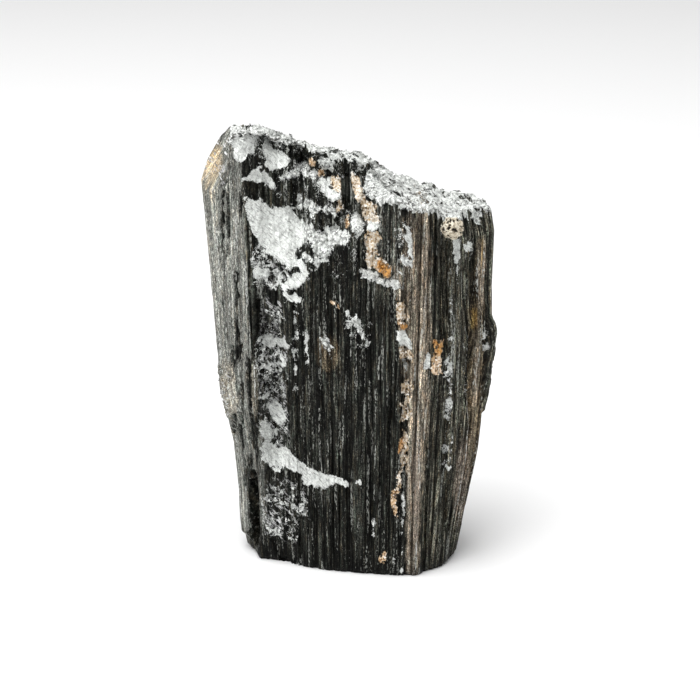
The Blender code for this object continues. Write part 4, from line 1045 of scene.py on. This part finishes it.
    # The frost with its painted sheen: plain pale facets with cracks and strokes, or sugary where they are
    # crumbled. The paleness is partly the frost of the break and partly a painted sheen of the light on it.
    frost_and_sheen_mask = between(tree, plus(frost_and_sheen, wander), 0.48, 0.53)
    crack = times(crease, between(tree, noise(tree, place, 0.7, 0.7), 0.42, 0.58))
    plane = times(
        plus(times(grit, 0.7), times(lump_tone, 0.16), 0.27),
        between(tree, crack, 0.0, 1.0, 1.0, 0.7),
        between(tree, stroke, 0.0, 1.0, 1.06, 0.55),
        between(tree, greyed, 0.0, 1.0, 1.0, 0.3),
    )
    sugar = maths(tree, "POWER", plus(times(chip_tone, 0.85), times(grit, 0.4)), 1.3)
    sugared = times(between(tree, crumb, 0.2, 0.75), maths(tree, "SUBTRACT", sugar, plane))
    pale = maths(tree, "MINIMUM", plus(plane, sugared), 0.95)
    pale = blend(tree, 1.0, pale, (0.975, 1.0, 0.965, 1.0), "MULTIPLY")
    tree.links.new(blend(tree, frost_and_sheen_mask, body, pale), shader.inputs["Base Color"])
    rough = plus(between(tree, grit, 0.3, 0.7, 0.25, 0.45), times(plus(frost_and_sheen_mask, filled), 0.3))
    tree.links.new(rough, shader.inputs["Roughness"])
    shader.inputs["Specular IOR Level"].default_value = 0.06
    relief = plus(times(grit, 0.8), times(splinter_gap, -0.6), times(crack, -0.4))
    bump = {"Height": relief, "Strength": 0.7, "Distance": 0.00015}
    tree.links.new(add(tree, "ShaderNodeBump", bump).outputs[0], shader.inputs["Normal"])
    return material


crystal_mesh = closed_skin("grown_crystal", points, len(steps))
note(crystal_mesh, "grain", grain)
note(crystal_mesh, "frost_and_sheen", with_ends(frost_and_sheen_share, 0.0, 0.9))
note(crystal_mesh, "crumb", with_ends(crumbled, 0.0, 0.5))
for name, values in {"vein": vein, "rust": rust, "grey": grey, "groove": groove, "tone": tone}.items():
    note(crystal_mesh, name, with_ends(values))
note(crystal_mesh, "worn", worn)
note(crystal_mesh, "tint", np.column_stack([tint, np.ones(len(tint))]))
crystal = standing(crystal_mesh, schorl())
thin = crystal.modifiers.new("thin", "DECIMATE")
thin.ratio = CRYSTAL_TRIANGLES / (2 * len(points))
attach(crystal, "root")
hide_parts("crystal")

# --------------------------------------------------------------------------------------------------------
# The crumb of the breaks: thousands of splinters of the same stone, broken loose on the head and the ledges
# and still held in its hollows. Each is a small squashed wedge, pale where it shows a fresh face.
# --------------------------------------------------------------------------------------------------------
CHIP_COUNT = 4200
CHIP_SIZES = (0.2, 0.7)
CHIP_FLATNESS = 0.2
CHIP_DEPTH = 0.1
# How much the chips on the head lie level rather than along its lumps.
LEVEL_LIE = 1.6


def normals_of_grid(grid, across):
    """The unit normal at each point of a grid that closes round on itself: the cross product of the steps
    along its rows and its columns."""
    net = grid.reshape(-1, across, 3)
    along = np.roll(net, -1, axis=1) - np.roll(net, 1, axis=1)
    normal = np.cross(along, np.gradient(net, axis=0)).reshape(-1, 3)
    return normal / np.maximum(np.linalg.norm(normal, axis=1), 1e-9)[:, None]


def wedges(name, centres, out, sizes, shades, flatness, rng):
    """Squashed eight-sided wedges: each centre has six corners, two on each of three axes turned at random,
    and the axis nearest the surface's normal is the short one. Each wedge's shade is on all its corners."""
    count = len(centres)
    side_way = np.cross(out, rng.normal(size=(count, 3)))
    side_way /= np.linalg.norm(side_way, axis=1)[:, None]
    third = np.cross(out, side_way)
    reach = sizes[:, None] * rng.uniform(0.6, 1.3, (count, 3)) * (1.0, 0.6, flatness)
    axes = np.stack([side_way, third, out + 0.25 * rng.normal(size=(count, 3))], axis=1) * reach[:, :, None]
    corners = np.concatenate([axes, -axes], axis=1) * rng.uniform(0.7, 1.2, (count, 6, 1))
    corners = (corners + centres[:, None]).reshape(-1, 3)
    faces = np.array([
        (0, 1, 2), (1, 3, 2), (3, 4, 2), (4, 0, 2), (1, 0, 5), (3, 1, 5), (4, 3, 5), (0, 4, 5),
    ])
    all_faces = (faces[None] + 6 * np.arange(count)[:, None, None]).reshape(-1, 3)
    mesh = bpy.data.meshes.new(name)
    mesh.from_pydata((corners * MM).tolist(), [], all_faces.tolist())
    note(mesh, "shade", np.repeat(shades, 6))
    return mesh


def chips(name, tinge, roughness):
    """Stone whose paleness is noted on each chip, with a fine speckle on it."""
    material, tree, shader = plain_material(name)
    speckle = between(tree, noise(tree, place_in_mm(tree), 0.15, 0.15, 1.0), 0.3, 0.7, 0.8, 1.15)
    colour = graded(tree, maths(tree, "MULTIPLY", noted(tree, "shade"), speckle), tinge)
    tree.links.new(colour, shader.inputs["Base Color"])
    shader.inputs["Roughness"].default_value = roughness
    shader.inputs["Specular IOR Level"].default_value = 0.2
    return material


rng = np.random.default_rng(17)
grid = points[:-2]
outward = normals_of_grid(grid, len(steps))
outward[:, 2] += LEVEL_LIE * on_head
outward /= np.linalg.norm(outward, axis=1)[:, None]
room = np.linalg.norm(np.roll(grid, -1, axis=0) - grid, axis=1)
room = np.minimum(room * np.linalg.norm(np.roll(grid, -len(steps), axis=0) - grid, axis=1), 0.2)
loose = room * frost_and_sheen_share * soft((crumbled - 0.3) / 0.3) * (row > CAP_ROWS) * (x > CHAMFER_EDGE)
loose = loose * np.where(on_head, 1.0, 0.35)
picked = rng.choice(len(loose), CHIP_COUNT, p=loose / loose.sum())
size = rng.uniform(0.0, 1.0, CHIP_COUNT) ** 2.2
size = CHIP_SIZES[0] + (CHIP_SIZES[1] - CHIP_SIZES[0]) * size
shade = rng.beta(1.3, 0.9, CHIP_COUNT)
centres = grid[picked] - CHIP_DEPTH * outward[picked]
crumb_mesh = wedges("head_crumb", centres, outward[picked], size, shade, CHIP_FLATNESS, rng)
crumb_tinge = [
    (0.0, (0.02, 0.02, 0.018)), (0.22, (0.10, 0.10, 0.09)), (0.5, (0.50, 0.51, 0.49)),
    (1.0, (0.93, 0.94, 0.92)),
]
head_crumb = standing(crumb_mesh, chips("schorl_chips", crumb_tinge, 0.55))
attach(head_crumb, "root")

# --------------------------------------------------------------------------------------------------------
# The vein's grains: cream, tan, white and rusty grains of the mineral that fills the crack down the front,
# standing proud of it by a fraction of a millimetre. They grew in the crack, packed against each other.
# --------------------------------------------------------------------------------------------------------
GRAIN_COUNT = 480
GRAIN_SIZES = (0.14, 0.4)
GRAIN_FLATNESS = 0.7
rusty = rust > 0.6
filling = room * soft((vein - 0.55) / 0.3) * (row > CAP_ROWS)
picked = rng.choice(len(filling), GRAIN_COUNT, p=filling / filling.sum())
size = rng.uniform(*GRAIN_SIZES, GRAIN_COUNT)
rusty_shade, cream_shade = rng.uniform(0.12, 0.36, GRAIN_COUNT), rng.uniform(0.5, 1.0, GRAIN_COUNT)
shade = np.where(rusty[picked], rusty_shade, cream_shade)
vein_mesh = wedges("vein_grains", grid[picked], outward[picked], size, shade, GRAIN_FLATNESS, rng)
vein_tinge = [
    (0.0, (0.03, 0.02, 0.012)), (0.18, (0.20, 0.14, 0.08)), (0.34, (0.62, 0.36, 0.14)),
    (0.5, (0.42, 0.35, 0.26)), (0.7, (0.66, 0.59, 0.49)), (1.0, (0.92, 0.91, 0.88)),
]
vein_grains = standing(vein_mesh, chips("vein_filling", vein_tinge, 0.6))
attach(vein_grains, "root")

# --------------------------------------------------------------------------------------------------------
# The knob: a porous cream nodule grown on the front under the broken head, as wide as a lentil, rough all
# over and pitted with small black holes.
# --------------------------------------------------------------------------------------------------------
KNOB_PLACE = (16.9, -11.9, 62.8)
KNOB_RADII = (1.85, 1.5, 1.75)
KNOB_RINGS, KNOB_STEPS = 90, 150
KNOB_HOLES = 110
KNOB_HOLE_WIDTHS = (0.07, 0.2)
# Shares of the knob's radii: how far its lumps reach in or out, coarse and fine, and how deep its holes are.
KNOB_COARSE_RELIEF, KNOB_FINE_RELIEF, KNOB_HOLE_DEPTH = 0.08, 0.05, 0.2


def nodule(name, place, radii, rings, steps_round, rng):
    """A closed ball of rings round an upright axis, squashed to its radii and broken into small lumps. Each
    hole is a steep dip where the point's direction is within the hole's width of the hole's own. Notes a
    shade that is dark in the holes."""
    turn = np.tile(np.arange(steps_round) / steps_round * 2 * np.pi, rings)
    rise = np.repeat((np.arange(rings) + 1) / (rings + 1) * np.pi, steps_round)
    unit = np.stack([np.sin(rise) * np.cos(turn), np.sin(rise) * np.sin(turn), -np.cos(rise)], axis=1)
    unit = np.vstack([unit, [(0, 0, -1), (0, 0, 1)]])
    ux, uy, uz = unit.T
    coarse, own = lumps(ux * 3.4 + uy * 1.7, uz * 3.6 + uy * 1.3, (1.0, 1.0, 83))
    fine, fine_own = lumps(ux * 8 + uy * 4, uz * 8 + uy * 3, (1.0, 1.0, 87))
    holes = rng.normal(size=(KNOB_HOLES, 3))
    holes /= np.linalg.norm(holes, axis=1)[:, None]
    width = rng.uniform(*KNOB_HOLE_WIDTHS, KNOB_HOLES)
    apart = np.arccos(np.clip(unit @ holes.T, -1.0, 1.0)) + 0.05 * (fine_own[:, None] - 0.5)
    hole = soft((width - apart) / 0.07).max(axis=1)
    reach = 1.0 + KNOB_COARSE_RELIEF * coarse + KNOB_FINE_RELIEF * fine - KNOB_HOLE_DEPTH * hole
    mesh = closed_skin(name, unit * reach[:, None] * radii + place, steps_round)
    note(mesh, "shade", np.clip(0.3 + 0.45 * fine_own + 0.2 * own - 0.9 * hole, 0.02, 1.0))
    return mesh


knob_mesh = nodule("knob", KNOB_PLACE, KNOB_RADII, KNOB_RINGS, KNOB_STEPS, rng)
knob_tinge = [
    (0.0, (0.012, 0.01, 0.008)), (0.3, (0.10, 0.08, 0.055)), (0.55, (0.50, 0.44, 0.33)),
    (1.0, (0.88, 0.84, 0.74)),
]
knob = standing(knob_mesh, chips("knob_crust", knob_tinge, 0.6))
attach(knob, "root")

# --------------------------------------------------------------------------------------------------------
# The studio: a plain pale floor, a soft light overhead, softer ones from the left and the right, an even
# white sky, and the camera. Lengths here are in metres.
# --------------------------------------------------------------------------------------------------------
FLOOR_SIZE = 4.0
PAPER_WHITE = (0.92, 0.92, 0.92, 1.0)
# The lights: place, size and power of each.
LIGHTS = {
    "overhead": ((-0.12, -0.10, 0.75), 0.6, 6.0),
    "left": ((-0.65, -0.45, 0.35), 0.5, 3.0),
    "right": ((0.7, -0.5, 0.3), 0.4, 1.0),
}
SKY_STRENGTH = 0.45
CAMERA_HEIGHT_ANGLE = 20.0
CAMERA_DISTANCE = 0.36
CAMERA_TARGET = (0.0, 0.0, 0.037)
CAMERA_LENS = 105.5

floor_mesh = bpy.data.meshes.new("floor")
half = FLOOR_SIZE / 2
corners = [(-half, -half, 0), (half, -half, 0), (half, half, 0), (-half, half, 0)]
floor_mesh.from_pydata(corners, [], [(0, 1, 2, 3)])
paper, paper_tree, paper_shader = plain_material("white_paper")
paper_shader.inputs["Base Color"].default_value = PAPER_WHITE
paper_shader.inputs["Roughness"].default_value = 0.9
floor = standing(floor_mesh, paper)


def aimed(name, data, place):
    """Puts a light or a camera at a place, looking at the crystal."""
    thing = bpy.data.objects.new(name, data)
    thing.location = place
    thing.rotation_euler = (Vector(CAMERA_TARGET) - thing.location).to_track_quat("-Z", "Y").to_euler()
    bpy.context.scene.collection.objects.link(thing)
    return thing


for name, (place, size, power) in LIGHTS.items():
    light = bpy.data.lights.new(name, "AREA")
    light.size, light.energy = size, power
    aimed(name, light, place)
sky = bpy.data.worlds.new("sky")
sky.use_nodes = True
sky.node_tree.nodes["Background"].inputs[0].default_value = (1.0, 1.0, 1.0, 1.0)
sky.node_tree.nodes["Background"].inputs[1].default_value = SKY_STRENGTH
bpy.context.scene.world = sky
bpy.context.scene.view_settings.view_transform = "Standard"

lens = bpy.data.cameras.new("camera")
lens.lens = CAMERA_LENS
tilt = np.radians(CAMERA_HEIGHT_ANGLE)
camera_place = Vector(CAMERA_TARGET) + CAMERA_DISTANCE * Vector((0.0, -np.cos(tilt), np.sin(tilt)))
bpy.context.scene.camera = aimed("camera", lens, camera_place)
